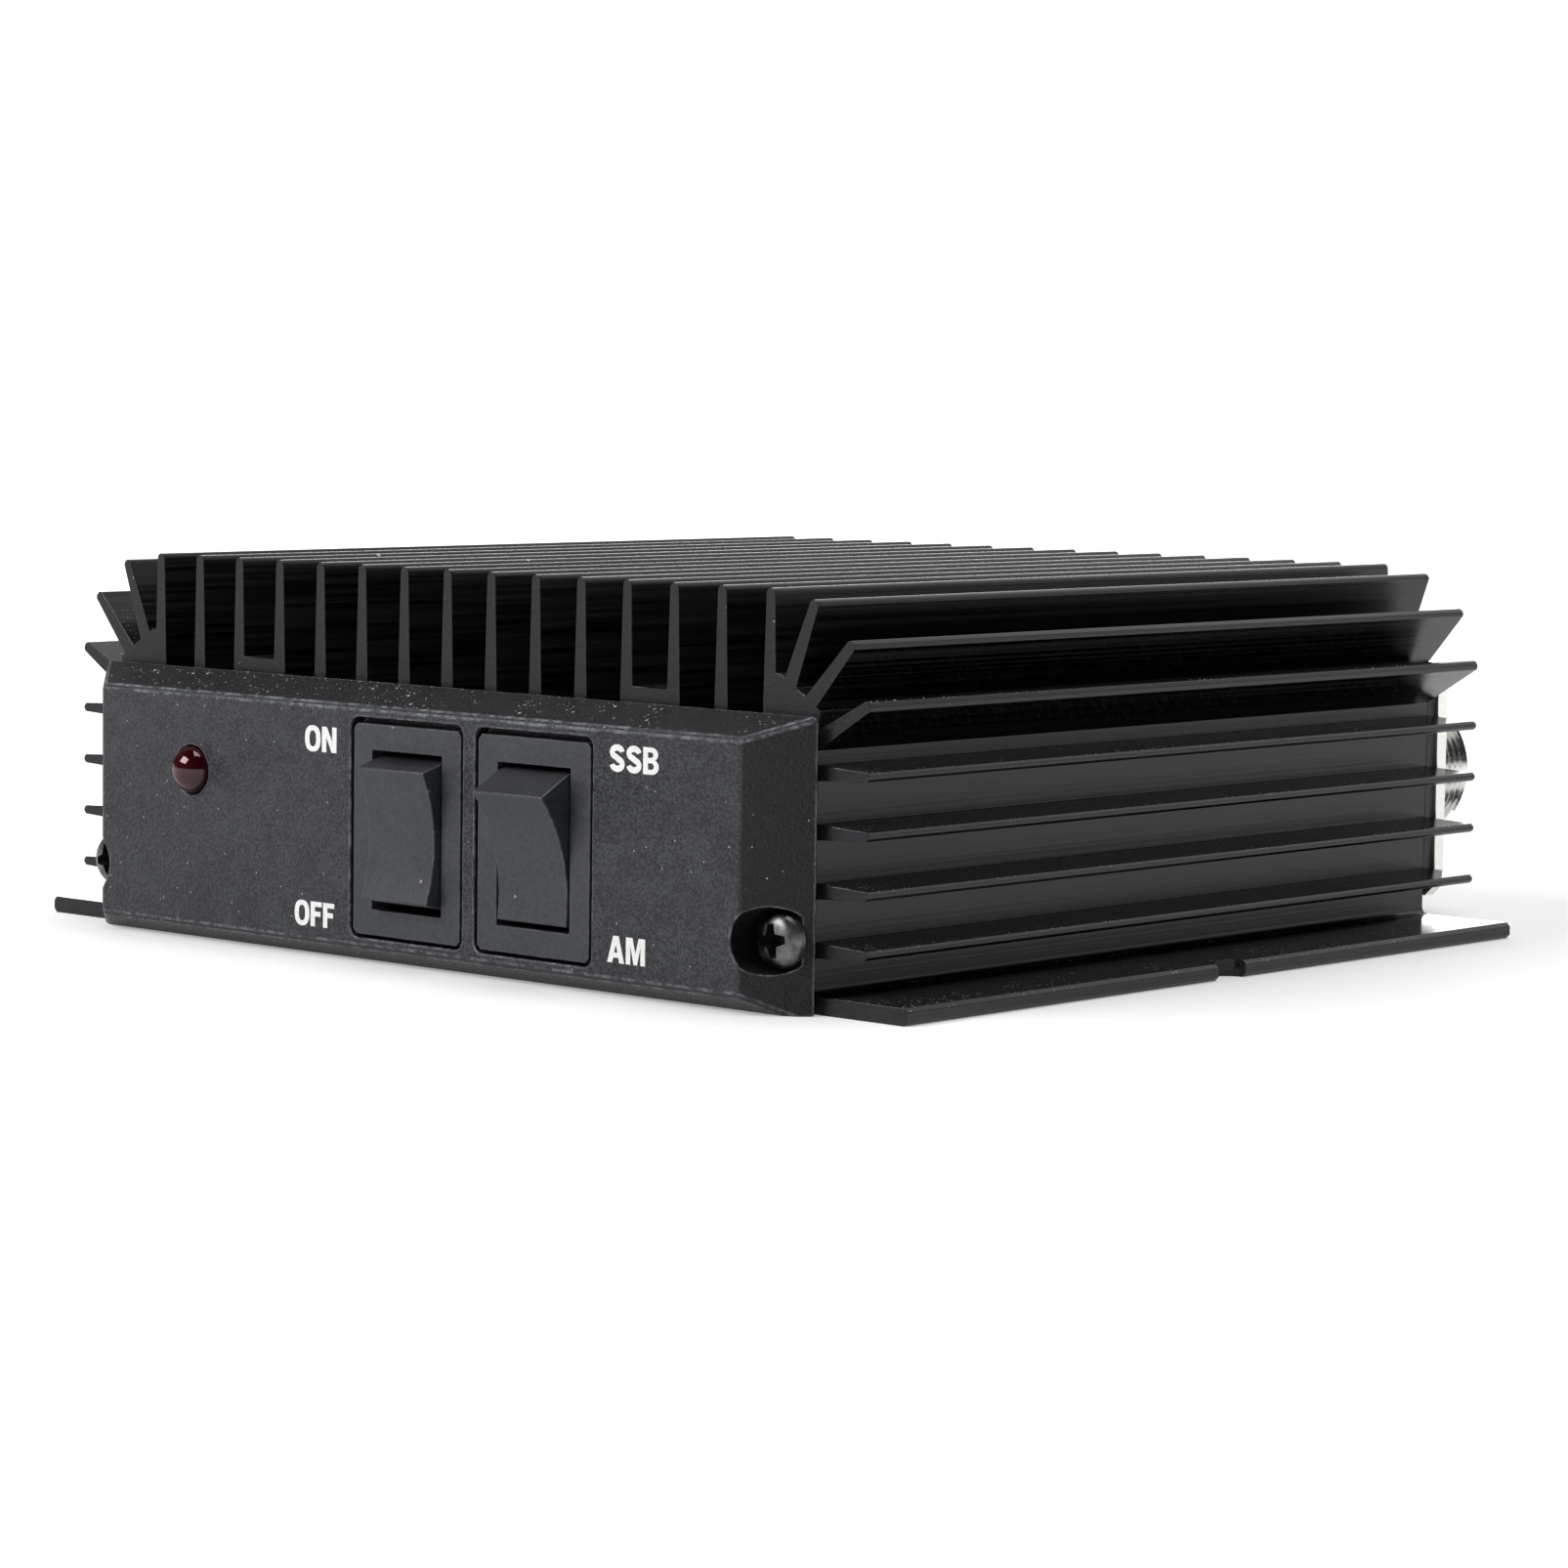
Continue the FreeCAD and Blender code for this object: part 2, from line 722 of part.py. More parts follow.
def switch_terminals(x):
    """Three tabs: the middle one carries the cradle that the contact rocks on."""
    cradle_y = face_y + rocker_pivot_depth + post_reach + contact_gap + contact_thickness + cradle_gap
    inner = face_y + switch_body_depth - switch_base
    half_w, half_t = cradle_width / 2, terminal_thickness / 2
    cradle = box(x - half_w, x + half_w, cradle_y, inner, switch_z - half_t, switch_z + half_t)
    low, middle, high = [terminal_blade(x, z, 0) for z in terminal_levels()]
    return group([low, fuse([middle, cradle]), high])


def rocker_profile():
    """Rocker section as (depth, height) from the pivot: dished face, flared ends, round back."""
    crest, half = rocker_crest_reach, rocker_crest_span / 2
    shoulder = half + crest * math.tan(math.radians(rocker_end_flare))
    back_half = math.sqrt(shoulder ** 2 - rocker_back_depth ** 2)
    bisector = math.atan2(rocker_back_depth, back_half) / 2
    bulge = (shoulder * math.sin(bisector), shoulder * math.cos(bisector))
    return crest, half, shoulder, back_half, bulge


def rocker(x, tilt):
    """Rocker with its pins and post, built level, then tilted: a positive tilt brings its top forward."""
    crest, half, shoulder, back_half, bulge = rocker_profile()
    x0 = x - opening_width / 2 + rocker_gap

    def at(depth, height):
        return Vector(x0, face_y + rocker_pivot_depth + depth, switch_z + height)

    edges = [
        Part.Arc(at(-crest, half), at(-crest + rocker_dish, 0), at(-crest, -half)).toShape(),
        Part.makeLine(at(-crest, -half), at(0, -shoulder)),
        Part.Arc(at(0, -shoulder), at(bulge[0], -bulge[1]), at(rocker_back_depth, -back_half)).toShape(),
        Part.makeLine(at(rocker_back_depth, -back_half), at(rocker_back_depth, back_half)),
        Part.Arc(at(rocker_back_depth, back_half), at(*bulge), at(0, shoulder)).toShape(),
        Part.makeLine(at(0, shoulder), at(-crest, half)),
    ]
    width = opening_width - 2 * rocker_gap
    body = Part.Face(Part.Wire(edges)).extrude(Vector(width, 0, 0))
    crests = [e for e in body.Edges if e.BoundBox.XLength > width - 0.01 and
              abs(e.BoundBox.YMin - at(-crest, 0).y) < 0.01]
    body = body.makeFillet(rocker_edge_radius, crests)
    pivot_y = face_y + rocker_pivot_depth
    pins = rod_x(trunnion_radius, pivot_y, switch_z, x0 - trunnion_length, x0 + width + trunnion_length)
    post = [at(rocker_back_depth, -post_root / 2), at(post_reach - post_nose, -post_nose),
            at(post_reach, 0), at(post_reach - post_nose, post_nose),
            at(rocker_back_depth, post_root / 2)]
    wedge = polygon(post).extrude(Vector(post_width, 0, 0))
    wedge.translate(Vector((width - post_width) / 2, 0, 0))
    return tilted(fuse([body, pins, wedge]), rocker_pivot_depth, tilt)


def tilted(shape, depth, angle):
    """Turn a shape about the X axis through the point at this depth behind the cap face."""
    turned = shape.copy()
    turned.rotate(Vector(0, face_y + depth, switch_z), Vector(1, 0, 0), angle)
    return turned


def rocking_contact(x, rocker_tilt):
    """Shallow vee blade that tips the other way from the rocker."""
    depth = rocker_pivot_depth + post_reach + contact_gap
    half, drop = contact_span / 2, contact_span / 2 * math.tan(math.radians(contact_slope))
    x0 = x - contact_width / 2
    y = face_y + depth
    outline = [(y, 0), (y - drop, half), (y - drop + contact_thickness, half), (y + contact_thickness, 0),
               (y - drop + contact_thickness, -half), (y - drop, -half)]
    face = polygon([Vector(x0, a, switch_z + b) for a, b in outline])
    blade = face.extrude(Vector(contact_width, 0, 0))
    return tilted(blade, depth + contact_thickness, -rocker_tilt * contact_slope / rocker_tilt_limit)


def write_switch(name, x, tilt):
    write(f"{name}_switch_frame", switch_frame(x))
    write(f"{name}_rocker", rocker(x, tilt))
    write(f"{name}_contact", rocking_contact(x, tilt))
    write(f"{name}_terminals", switch_terminals(x))


# ------------------------------------------------------------------ indicator lamp
def led_lens():
    """Domed epoxy body with the flange that stops it behind the cap."""
    tip = face_y - led_proud
    centre = Vector(led_x, tip + led_radius, led_z)
    dome = Part.makeSphere(led_radius, centre, Vector(0, -1, 0), 0, 90, 360)
    body = rod_y(led_radius, led_x, led_z, centre.y, tip + led_body_length)
    return fuse([body, dome])


def led_leads():
    """Two square leads that straddle the front edge of the board."""
    start = face_y - led_proud + led_body_length
    half = led_lead_width / 2
    return group([box(led_x - half, led_x + half, start, board_front + led_lead_lap, z, z + led_lead_width)
                  for z in (board_top, board_bottom - led_lead_width)])


# ------------------------------------------------------------------ circuit board
def circuit_board():
    """Board slid in between the ledges."""
    return box(-board_half, board_half, board_front, board_rear, board_bottom, board_top)


# ------------------------------------------------------------------ power transistors
def tab_seat_z():
    return ceiling_z - pad_thickness


def transistor_centres():
    return [-transistor_x, transistor_x]


def transistor_pads():
    half = tab_width / 2 + pad_margin
    return group([box(x - half, x + half, transistor_y - pad_margin, transistor_y + tab_length + pad_margin,
                      tab_seat_z(), ceiling_z) for x in transistor_centres()])


def transistor_tabs():
    half, z = tab_width / 2, tab_seat_z()
    return group([box(x - half, x + half, transistor_y, transistor_y + tab_length, z - tab_thickness, z)
                  for x in transistor_centres()])


def transistor_bodies():
    half, z = tab_width / 2, tab_seat_z()
    return group([box(x - half, x + half, transistor_y, transistor_y + epoxy_length,
                      z - epoxy_thickness, z - tab_thickness) for x in transistor_centres()])


def transistor_leads():
    """Three legs each, forward out of the body and down to the board."""
    leads = []
    half, thick = transistor_lead_width / 2, transistor_lead_thickness
    top = tab_seat_z() - tab_thickness - thick
    bend = transistor_y - transistor_lead_run
    for x in transistor_centres():
        for step in (-1, 0, 1):
            lead_x = x + step * transistor_lead_pitch
            run = box(lead_x - half, lead_x + half, bend, transistor_y, top - thick, top)
            leg = box(lead_x - half, lead_x + half, bend, bend + thick, board_top, top)
            leads.append(fuse([run, leg]))
    return group(leads)


def transistor_press_block():
    """Rubber block between the board and both bodies, which keeps them against the ceiling."""
    half, y0 = transistor_x + tab_width / 2, transistor_y + (epoxy_length - press_block_depth) / 2
    return box(-half, half, y0, y0 + press_block_depth, board_top, tab_seat_z() - epoxy_thickness)


# ------------------------------------------------------------------ parts hung under the board
def hanging_box(x, y, size):
    """Box under the board, centred on (x, y); its size is width, length and height."""
    width, length, height = size
    return box(x - width / 2, x + width / 2, y - length / 2, y + length / 2,
               board_bottom - height, board_bottom)


def hanging_row(places, y, size):
    return group([hanging_box(x, y, size) for x in places])


def transformer_windows(half_run):
    """Square bars along Y at the two windows of the output transformer."""
    half, offset = strap_width / 2, core_size[0] / 4
    y, z = board_rear - core_rear_margin, board_bottom - core_size[2] / 2
    return [box(x - half, x + half, y - half_run, y + half_run, z - half, z + half)
            for x in (-offset, offset)]


def transformer_core():
    """Ferrite block with two square windows along Y."""
    core = hanging_box(0, board_rear - core_rear_margin, core_size)
    for window in transformer_windows(core_size[1]):
        core = core.cut(window)
    return core


def transformer_winding():
    """One U-shaped strap that fills both windows."""
    half_run = core_size[1] / 2 + strap_overhang
    legs = transformer_windows(half_run)
    left, right = legs[0].BoundBox, legs[1].BoundBox
    bridge = box(left.XMin, right.XMax, left.YMax, left.YMax + strap_width, left.ZMin, left.ZMax)
    return fuse(legs + [bridge])


def write_hanging_parts():
    write("output_transformer_core", transformer_core())
    write("output_transformer_winding", transformer_winding())
    write("output_relay", hanging_box(relay_x, board_rear - relay_rear_margin, relay_size))
    write("filter_coils", hanging_row(coil_places_x, board_rear - coil_rear_margin, coil_size))
    write("input_transformer", hanging_box(0, board_front + input_transformer_front_margin,
                                           input_transformer_size))
    write("supply_capacitor", hanging_box(capacitor_x, board_front + capacitor_front_margin,
                                          capacitor_size))
    write("chip_capacitors", hanging_row(chip_capacitor_places_x,
                                         board_front + chip_capacitor_front_margin, chip_capacitor_size))
    write("chip_resistors", hanging_row(chip_resistor_places_x,
                                        board_front + chip_resistor_front_margin, chip_resistor_size))


def write_electronics():
    write("circuit_board", circuit_board())
    write("transistor_pads", transistor_pads())
    write("transistor_tabs", transistor_tabs())
    write("transistor_bodies", transistor_bodies())
    write("transistor_leads", transistor_leads())
    write("transistor_press_block", transistor_press_block())
    write_hanging_parts()


def write_case():
    write("heatsink_housing", heatsink_housing())
    write("bottom_cover", bottom_cover())
    write("front_cap", front_cap())
    write("front_cap_screws", front_cap_screws())
    write("rear_panel", rear_panel())
    write("cable_grommet", cable_grommet())
    write("socket_screws", socket_screws())
    write("led_lens", led_lens())
    write("led_leads", led_leads())


def write_sockets():
    for name, x in (("radio", -socket_x), ("antenna", socket_x)):
        write(f"{name}_socket_shell", socket_shell(x))
        write(f"{name}_socket_insulator", socket_insulator(x))
        write(f"{name}_socket_contact", socket_contact(x))


os.makedirs("parts", exist_ok=True)
write_case()
write_sockets()
write_switch("power", power_switch_x, power_rest_tilt)
write_switch("mode", mode_switch_x, mode_rest_tilt)
write_electronics()
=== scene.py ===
import json
import math

import bmesh
import bpy
from mathutils import Matrix, Vector


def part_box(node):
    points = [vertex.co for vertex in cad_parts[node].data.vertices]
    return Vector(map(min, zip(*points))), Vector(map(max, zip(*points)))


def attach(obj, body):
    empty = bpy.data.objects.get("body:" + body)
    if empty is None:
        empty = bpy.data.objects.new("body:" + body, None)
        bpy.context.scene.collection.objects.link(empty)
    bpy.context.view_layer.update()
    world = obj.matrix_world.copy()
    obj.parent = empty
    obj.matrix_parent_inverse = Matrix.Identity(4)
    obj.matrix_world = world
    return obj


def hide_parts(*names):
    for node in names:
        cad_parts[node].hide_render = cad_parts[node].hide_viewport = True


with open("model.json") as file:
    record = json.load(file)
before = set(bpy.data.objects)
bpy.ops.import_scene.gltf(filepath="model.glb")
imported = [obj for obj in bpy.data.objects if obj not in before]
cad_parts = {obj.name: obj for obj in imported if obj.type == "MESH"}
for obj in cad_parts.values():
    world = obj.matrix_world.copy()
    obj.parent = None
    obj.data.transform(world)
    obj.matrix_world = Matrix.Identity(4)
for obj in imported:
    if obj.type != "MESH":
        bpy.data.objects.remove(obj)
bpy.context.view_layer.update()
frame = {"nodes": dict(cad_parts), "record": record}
MM = 0.001
X, Y, Z = 0, 1, 2
WELD = 1e-3 * MM


# ------------------------------------------------------------------ shader nodes
MIX_COLOUR_A, MIX_COLOUR_B, MIX_COLOUR_OUT = 6, 7, 2
BEVEL_SAMPLES = 6
SPECK_CORE = 0.6


class Nodes:
    """Shorthand for adding nodes to one node tree and linking them."""

    def __init__(self, tree):
        self.nodes, self.links = tree.nodes, tree.links

    def feed(self, socket, value):
        """Link another node's output to a socket, or set a constant on it."""
        if isinstance(value, bpy.types.NodeSocket):
            self.links.new(value, socket)
        else:
            socket.default_value = value

    def node(self, kind, **inputs):
        made = self.nodes.new(kind)
        for name, value in inputs.items():
            self.feed(made.inputs[name.replace("_", " ")], value)
        return made

    def math(self, operation, a, b):
        made = self.nodes.new("ShaderNodeMath")
        made.operation = operation
        self.feed(made.inputs[0], a)
        self.feed(made.inputs[1], b)
        return made.outputs[0]

    def plus(self, a, b):
        return self.math("ADD", a, b)

    def times(self, a, b):
        return self.math("MULTIPLY", a, b)

    def larger(self, a, b):
        return self.math("MAXIMUM", a, b)

    def span(self, value, low, high, to_low=0.0, to_high=1.0):
        """Map low..high to to_low..to_high, held at both ends."""
        made = self.nodes.new("ShaderNodeMapRange")
        made.clamp = True
        for socket, given in zip(made.inputs, (value, low, high, to_low, to_high)):
            self.feed(socket, given)
        return made.outputs[0]

    def mix(self, factor, a, b):
        """Colour a where the factor is 0, and b where it is 1."""
        made = self.nodes.new("ShaderNodeMix")
        made.data_type = "RGBA"
        self.feed(made.inputs[0], factor)
        for index, value in ((MIX_COLOUR_A, a), (MIX_COLOUR_B, b)):
            linked = isinstance(value, bpy.types.NodeSocket)
            self.feed(made.inputs[index], value if linked else (*value, 1.0))
        return made.outputs[MIX_COLOUR_OUT]

    def parts(self, vector):
        """The X, Y and Z outputs of a vector."""
        return self.node("ShaderNodeSeparateXYZ", Vector=vector).outputs

    def seen_directly(self):
        """1 for camera, glossy and transmission rays, 0 for the rest."""
        path = self.node("ShaderNodeLightPath").outputs
        return self.larger(self.larger(path["Is Camera Ray"], path["Is Glossy Ray"]),
                           path["Is Transmission Ray"])


class Shader(Nodes):
    """A Principled material with procedural colour, roughness and relief; scales are per metre."""

    def __init__(self, name, color, roughness, **sockets):
        self.material = bpy.data.materials.new(name)
        self.material.use_nodes = True
        super().__init__(self.material.node_tree)
        self.bsdf = self.nodes["Principled BSDF"]
        self.bsdf.inputs["Base Color"].default_value = (*color, 1.0)
        self.bsdf.inputs["Roughness"].default_value = roughness
        for socket, value in sockets.items():
            self.bsdf.inputs[socket.replace("_", " ")].default_value = value
        self.where = self.node("ShaderNodeTexCoord").outputs["Object"]

    def colour(self, value):
        self.feed(self.bsdf.inputs["Base Color"], value)

    def rough(self, value):
        self.feed(self.bsdf.inputs["Roughness"], value)

    def bump(self, height, strength, distance):
        """Relief along the normal; the distance is in mm."""
        made = self.node("ShaderNodeBump", Height=height, Strength=strength, Distance=distance * MM)
        self.feed(self.bsdf.inputs["Normal"], made.outputs["Normal"])

    def noise(self, scale, detail=2.0, stretch=(1, 1, 1), roughness=0.5):
        mapping = self.node("ShaderNodeMapping", Vector=self.where, Scale=stretch)
        made = self.node("ShaderNodeTexNoise", Vector=mapping.outputs["Vector"], Scale=scale,
                         Detail=detail, Roughness=roughness)
        return made.outputs["Fac"]

    def cells(self, scale, output="Distance"):
        return self.node("ShaderNodeTexVoronoi", Vector=self.where, Scale=scale).outputs[output]

    def specks(self, scale, size, share):
        """Round specks, of a size that is relative to the cells, in a share of the cells."""
        near = self.span(self.cells(scale), size, size * SPECK_CORE)
        tone = self.node("ShaderNodeSeparateColor", Color=self.cells(scale, "Color")).outputs[0]
        return self.times(near, self.math("LESS_THAN", tone, share))

    def normal(self):
        return self.node("ShaderNodeNewGeometry").outputs["Normal"]

    def edges(self, radius, low=0.99, high=0.9):
        """1 on outside and inside edges, found by rounding the normals over a radius in mm."""
        soft = self.node("ShaderNodeBevel", Radius=radius * MM)
        soft.samples = BEVEL_SAMPLES
        dot = self.nodes.new("ShaderNodeVectorMath")
        dot.operation = "DOT_PRODUCT"
        self.feed(dot.inputs[0], soft.outputs[0])
        self.feed(dot.inputs[1], self.normal())
        return self.span(dot.outputs["Value"], low, high)

    def facing(self, axis, low, high):
        """0 to 1 as the normal turns towards an axis; negative limits stand for the opposite direction."""
        return self.span(self.parts(self.normal())[axis], low, high)

    def facing_both(self, axis, low, high):
        """0 to 1 as the normal turns towards either direction of an axis."""
        return self.larger(self.facing(axis, low, high), self.facing(axis, -low, -high))

    def along(self, axis, low, high):
        """0 to 1 between two coordinates on an axis, in mm."""
        return self.span(self.parts(self.where)[axis], low * MM, high * MM)


# ------------------------------------------------------------------ materials
def black_anodised(name):
    """Anodised extrusion: draw lines along Y, pale chips, and dust that lies below the fin tips."""
    s = Shader(name, (0.005, 0.0054, 0.0063), 0.12, IOR=1.41)
    lines = s.noise(1.0, 4.0, (2200, 5, 2200), 0.62)
    bands = s.noise(1.0, 2.0, (420, 4, 420))
    tone = s.plus(s.times(lines, 0.75), s.times(bands, 0.25))
    body = s.mix(s.span(tone, 0.43, 0.6), (0.0004, 0.0005, 0.0007), (0.0165, 0.017, 0.019))
    fallen = s.larger(s.specks(1300, 0.22, 0.34), s.specks(2600, 0.27, 0.36))
    patches = s.span(s.noise(90), 0.4, 0.56)
    below_tips = s.along(Z, 34, 30)
    dust = s.times(s.times(s.facing(Z, 0.55, 0.9), below_tips), s.times(fallen, patches))
    chips = s.specks(330, 0.09, 0.03)
    s.colour(s.mix(s.larger(chips, dust), body, (0.44, 0.44, 0.43)))
    upright = s.facing_both(X, 0.8, 0.95)
    s.rough(s.plus(s.span(tone, 0.36, 0.64, 0.13, 0.22), s.times(upright, 0.13)))
    s.bump(s.times(lines, s.span(upright, 0.0, 1.0, 0.06, 1.0)), 0.7, 0.04)
    return s.material


def sawn_ends():
    """Ends of the extrusion, sawn and then anodised: a duller, finely scored grey black, with edges lighter
    from rubbing and a painted highlight.
    """
    s = Shader("sawn_ends", (0.01, 0.0104, 0.0118), 0.5, IOR=1.5, Specular_IOR_Level=0.3)
    marks = s.noise(1.0, 4.0, (1300, 1300, 5200), 0.62)
    body = s.mix(s.span(marks, 0.34, 0.66), (0.006, 0.0064, 0.0074), (0.019, 0.0198, 0.0226))
    # Lighter edges: rubbing wear and a painted highlight along them.
    rubbed_and_highlit = s.times(s.edges(0.16), s.span(s.noise(600, 3.0), 0.45, 0.7))
    body = s.mix(s.times(rubbed_and_highlit, 0.5), body, (0.09, 0.092, 0.096))
    s.colour(s.mix(s.specks(1500, 0.22, 0.03), body, (0.2, 0.2, 0.195)))
    s.rough(s.span(marks, 0.3, 0.7, 0.42, 0.6))
    s.bump(marks, 0.6, 0.03)
    return s.material


def black_sheet():
    """Satin black sheet of the rear panel."""
    s = Shader("black_sheet", (0.02, 0.02, 0.021), 0.45)
    grain = s.noise(1800, 3.0)
    s.colour(s.mix(s.span(grain, 0.3, 0.7), (0.011, 0.0115, 0.013), (0.02, 0.0205, 0.022)))
    s.rough(s.span(s.noise(300), 0.3, 0.7, 0.38, 0.52))
    s.bump(grain, 0.25, 0.02)
    return s.material


def black_moulding():
    """Moulded cap: spark-eroded grain, painted shade on faces turned up, down and to the sides, edges lighter
    from wear and a painted highlight, and dust where it faces up.
    """
    s = Shader("black_moulding", (0.014, 0.015, 0.018), 0.5, IOR=1.5, Specular_IOR_Level=0.38)
    grain = s.noise(3600, 5.0, roughness=0.62)
    pits = s.span(s.cells(3600), 0.1, 0.55)
    tone = s.plus(s.times(grain, 0.86), s.times(s.noise(380, 3.0), 0.14))
    body = s.mix(s.span(tone, 0.43, 0.59), (0.0034, 0.0038, 0.0052), (0.047, 0.0508, 0.0612))
    up = s.facing(Z, 0.5, 0.85)
    # Painted shade: faces turned up, down or to either side are mixed towards near black, for the light they
    # don't get.
    painted_shade_faces = s.larger(s.larger(up, s.facing(Z, -0.3, -0.6)), s.facing_both(X, 0.3, 0.6))
    body = s.mix(s.times(painted_shade_faces, 0.95), body, (0.002, 0.0022, 0.0028))
    # Lighter edges: rubbing wear, and also a painted highlight along the edges.
    worn_and_highlit = s.times(s.edges(0.34, 0.995, 0.955), s.span(s.noise(700, 4.0, roughness=0.7), 0.36, 0.56))
    body = s.mix(s.times(worn_and_highlit, 0.8), body, (0.2, 0.206, 0.22))
    fallen = s.larger(s.specks(1000, 0.21, 0.3), s.specks(2600, 0.24, 0.32))
    fallen = s.times(fallen, s.span(s.noise(150), 0.42, 0.56))
    dust = s.larger(s.times(up, fallen), s.specks(1900, 0.2, 0.04))
    s.colour(s.mix(dust, body, (0.42, 0.42, 0.41)))
    s.rough(s.span(grain, 0.35, 0.65, 0.36, 0.56))
    s.bump(s.plus(grain, s.times(pits, 0.35)), 1.0, 0.16)
    return s.material


def black_nylon(name, dust_share):
    """Switch plastic: nearly smooth, with faint flow marks, painted shade on the tops, edges lighter from
    rubbing and a painted highlight, and a little dust.
    """
    s = Shader(name, (0.015, 0.016, 0.019), 0.5, IOR=1.52)
    flow = s.noise(260, 4.0)
    tone = s.plus(s.times(flow, 0.4), s.times(s.noise(2600, 3.0), 0.6))
    body = s.mix(s.span(tone, 0.36, 0.64), (0.0135, 0.0155, 0.02), (0.0335, 0.0372, 0.046))
    # Painted shade: faces turning up are darkened towards near black.
    body = s.mix(s.times(s.facing(Z, 0.25, 0.6), 0.7), body, (0.003, 0.0032, 0.004))
    # Lighter edges: rubbing wear and a painted highlight along them.
    rubbed_and_highlit = s.times(s.edges(0.28, 0.99, 0.93), s.span(s.noise(800, 3.0), 0.32, 0.58))
    body = s.mix(s.times(rubbed_and_highlit, 0.75), body, (0.13, 0.135, 0.145))
    s.colour(s.mix(s.specks(760, 0.16, dust_share), body, (0.24, 0.24, 0.235)))
    s.rough(s.span(flow, 0.3, 0.7, 0.5, 0.6))
    s.bump(s.noise(3400, 3.0), 0.3, 0.02)
    return s.material


def worn_and_highlit_edge(name, dark, light):
    """Edge strip of a black plastic part, lighter in places: rubbed wear and a painted highlight."""
    s = Shader(name, light, 0.5, IOR=1.5, Specular_IOR_Level=0.38)
    rub_and_highlight = s.noise(900, 5.0, roughness=0.7)
    s.colour(s.mix(s.span(rub_and_highlight, 0.44, 0.62), dark, light))
    s.bump(s.noise(3600, 3.0), 0.5, 0.04)
    return s.material


def metal(name, color, dark, roughness, stretch=(900, 900, 900), relief=(0.1, 0.01)):
    """Metal with fine marks that stretch as given, and a relief of a strength and a distance in mm."""
    s = Shader(name, color, roughness, Metallic=1.0)
    marks = s.noise(1.0, 4.0, stretch)
    s.colour(s.mix(s.span(marks, 0.3, 0.7), dark, color))
    s.rough(s.span(marks, 0.3, 0.7, roughness * 0.8, roughness * 1.35))
    s.bump(marks, *relief)
    return s.material


def plain(name, color, roughness, variation, scale=900):
    """One colour with a fine variation and a matching relief."""
    s = Shader(name, color, roughness)
    grain = s.noise(scale, 3.0)
    dark = tuple(c * (1 - variation) for c in color)
    light = tuple(min(1.0, c * (1 + variation)) for c in color)
    s.colour(s.mix(s.span(grain, 0.3, 0.7), dark, light))
    s.rough(s.span(grain, 0.3, 0.7, roughness * 0.85, min(1.0, roughness * 1.15)))
    s.bump(grain, 0.2, 0.02)
    return s.material


def board_green():
    """Solder resist with copper tracks showing through as a paler green."""
    s = Shader("board_laminate", (0.02, 0.1, 0.03), 0.35)
    tracks = s.span(s.cells(160), 0.42, 0.46)
    weave = s.noise(2500, 1.0)
    base = s.mix(weave, (0.012, 0.07, 0.02), (0.02, 0.1, 0.03))
    s.colour(s.mix(tracks, base, (0.04, 0.19, 0.06)))
    s.bump(tracks, 0.2, 0.02)
    return s.material


def red_epoxy():
    """Deep red tinted epoxy of the lamp: dark inside, clear and glossy outside."""
    s = Shader("red_lens", (0.07, 0.002, 0.005), 0.035, IOR=1.56, Transmission_Weight=0.15,
               Specular_Tint=(1.0, 0.74, 0.8, 1.0))
    depth = s.noise(340, 3.0)
    s.colour(s.mix(s.span(depth, 0.3, 0.7), (0.014, 0.0004, 0.0015), (0.032, 0.001, 0.003)))
    s.bump(s.noise(900), 0.04, 0.01)
    return s.material


def recess_shade_and_grime():
    """Near-black film in screw recesses and counterbores: grime, and painted shade for the shadow that fills
    them.
    """
    s = Shader("recess_shade_and_grime", (0.004, 0.004, 0.0045), 0.85, Specular_IOR_Level=0.1)
    recess_tone = s.noise(1500, 3.0)
    s.colour(s.mix(s.span(recess_tone, 0.3, 0.7), (0.0025, 0.0025, 0.003), (0.008, 0.008, 0.009)))
    s.bump(recess_tone, 0.3, 0.02)
    return s.material


# Each metal: colour, darker marks, roughness, and where they differ the stretch of the marks and the relief.
METALS = {
    "black_steel": ((0.22, 0.217, 0.212), (0.06, 0.059, 0.058), 0.34, (800, 800, 800), (0.5, 0.05)),
    "zinc_steel": ((0.66, 0.66, 0.63), (0.45, 0.45, 0.42), 0.25),
    "nickel_plate": ((0.8, 0.79, 0.76), (0.72, 0.71, 0.68), 0.14, (500, 500, 2600)),
    "gold_brass": ((0.83, 0.66, 0.3), (0.62, 0.46, 0.18), 0.22),
    "contact_brass": ((0.78, 0.6, 0.3), (0.55, 0.4, 0.18), 0.3),
    "tinned_wire": ((0.7, 0.7, 0.68), (0.5, 0.5, 0.48), 0.3),
    "tinned_metal": ((0.66, 0.66, 0.64), (0.48, 0.48, 0.46), 0.35),
    "bare_copper": ((0.75, 0.36, 0.2), (0.5, 0.2, 0.1), 0.28),
}

# Each plain material: colour, roughness, how much its colour varies, and where it differs the grain's scale.
PLAINS = {
    "black_rubber": ((0.02, 0.02, 0.02), 0.7, 0.3, 2400),
    "grey_pad": ((0.36, 0.36, 0.36), 0.7, 0.12),
    "black_epoxy": ((0.022, 0.022, 0.022), 0.55, 0.3, 2600),
    "white_silicone": ((0.68, 0.68, 0.66), 0.6, 0.08),
    "white_insulator": ((0.66, 0.64, 0.6), 0.45, 0.08),
    "ferrite": ((0.06, 0.057, 0.055), 0.6, 0.3, 1500),
    "relay_plastic": ((0.02, 0.05, 0.16), 0.3, 0.15),
    "capacitor_case": ((0.36, 0.03, 0.02), 0.3, 0.15),
    "chip_ceramic": ((0.36, 0.22, 0.11), 0.5, 0.15),
    "chip_black": ((0.03, 0.03, 0.03), 0.4, 0.2),
    "print_white": ((0.86, 0.86, 0.85), 0.5, 0.06, 2600),
}

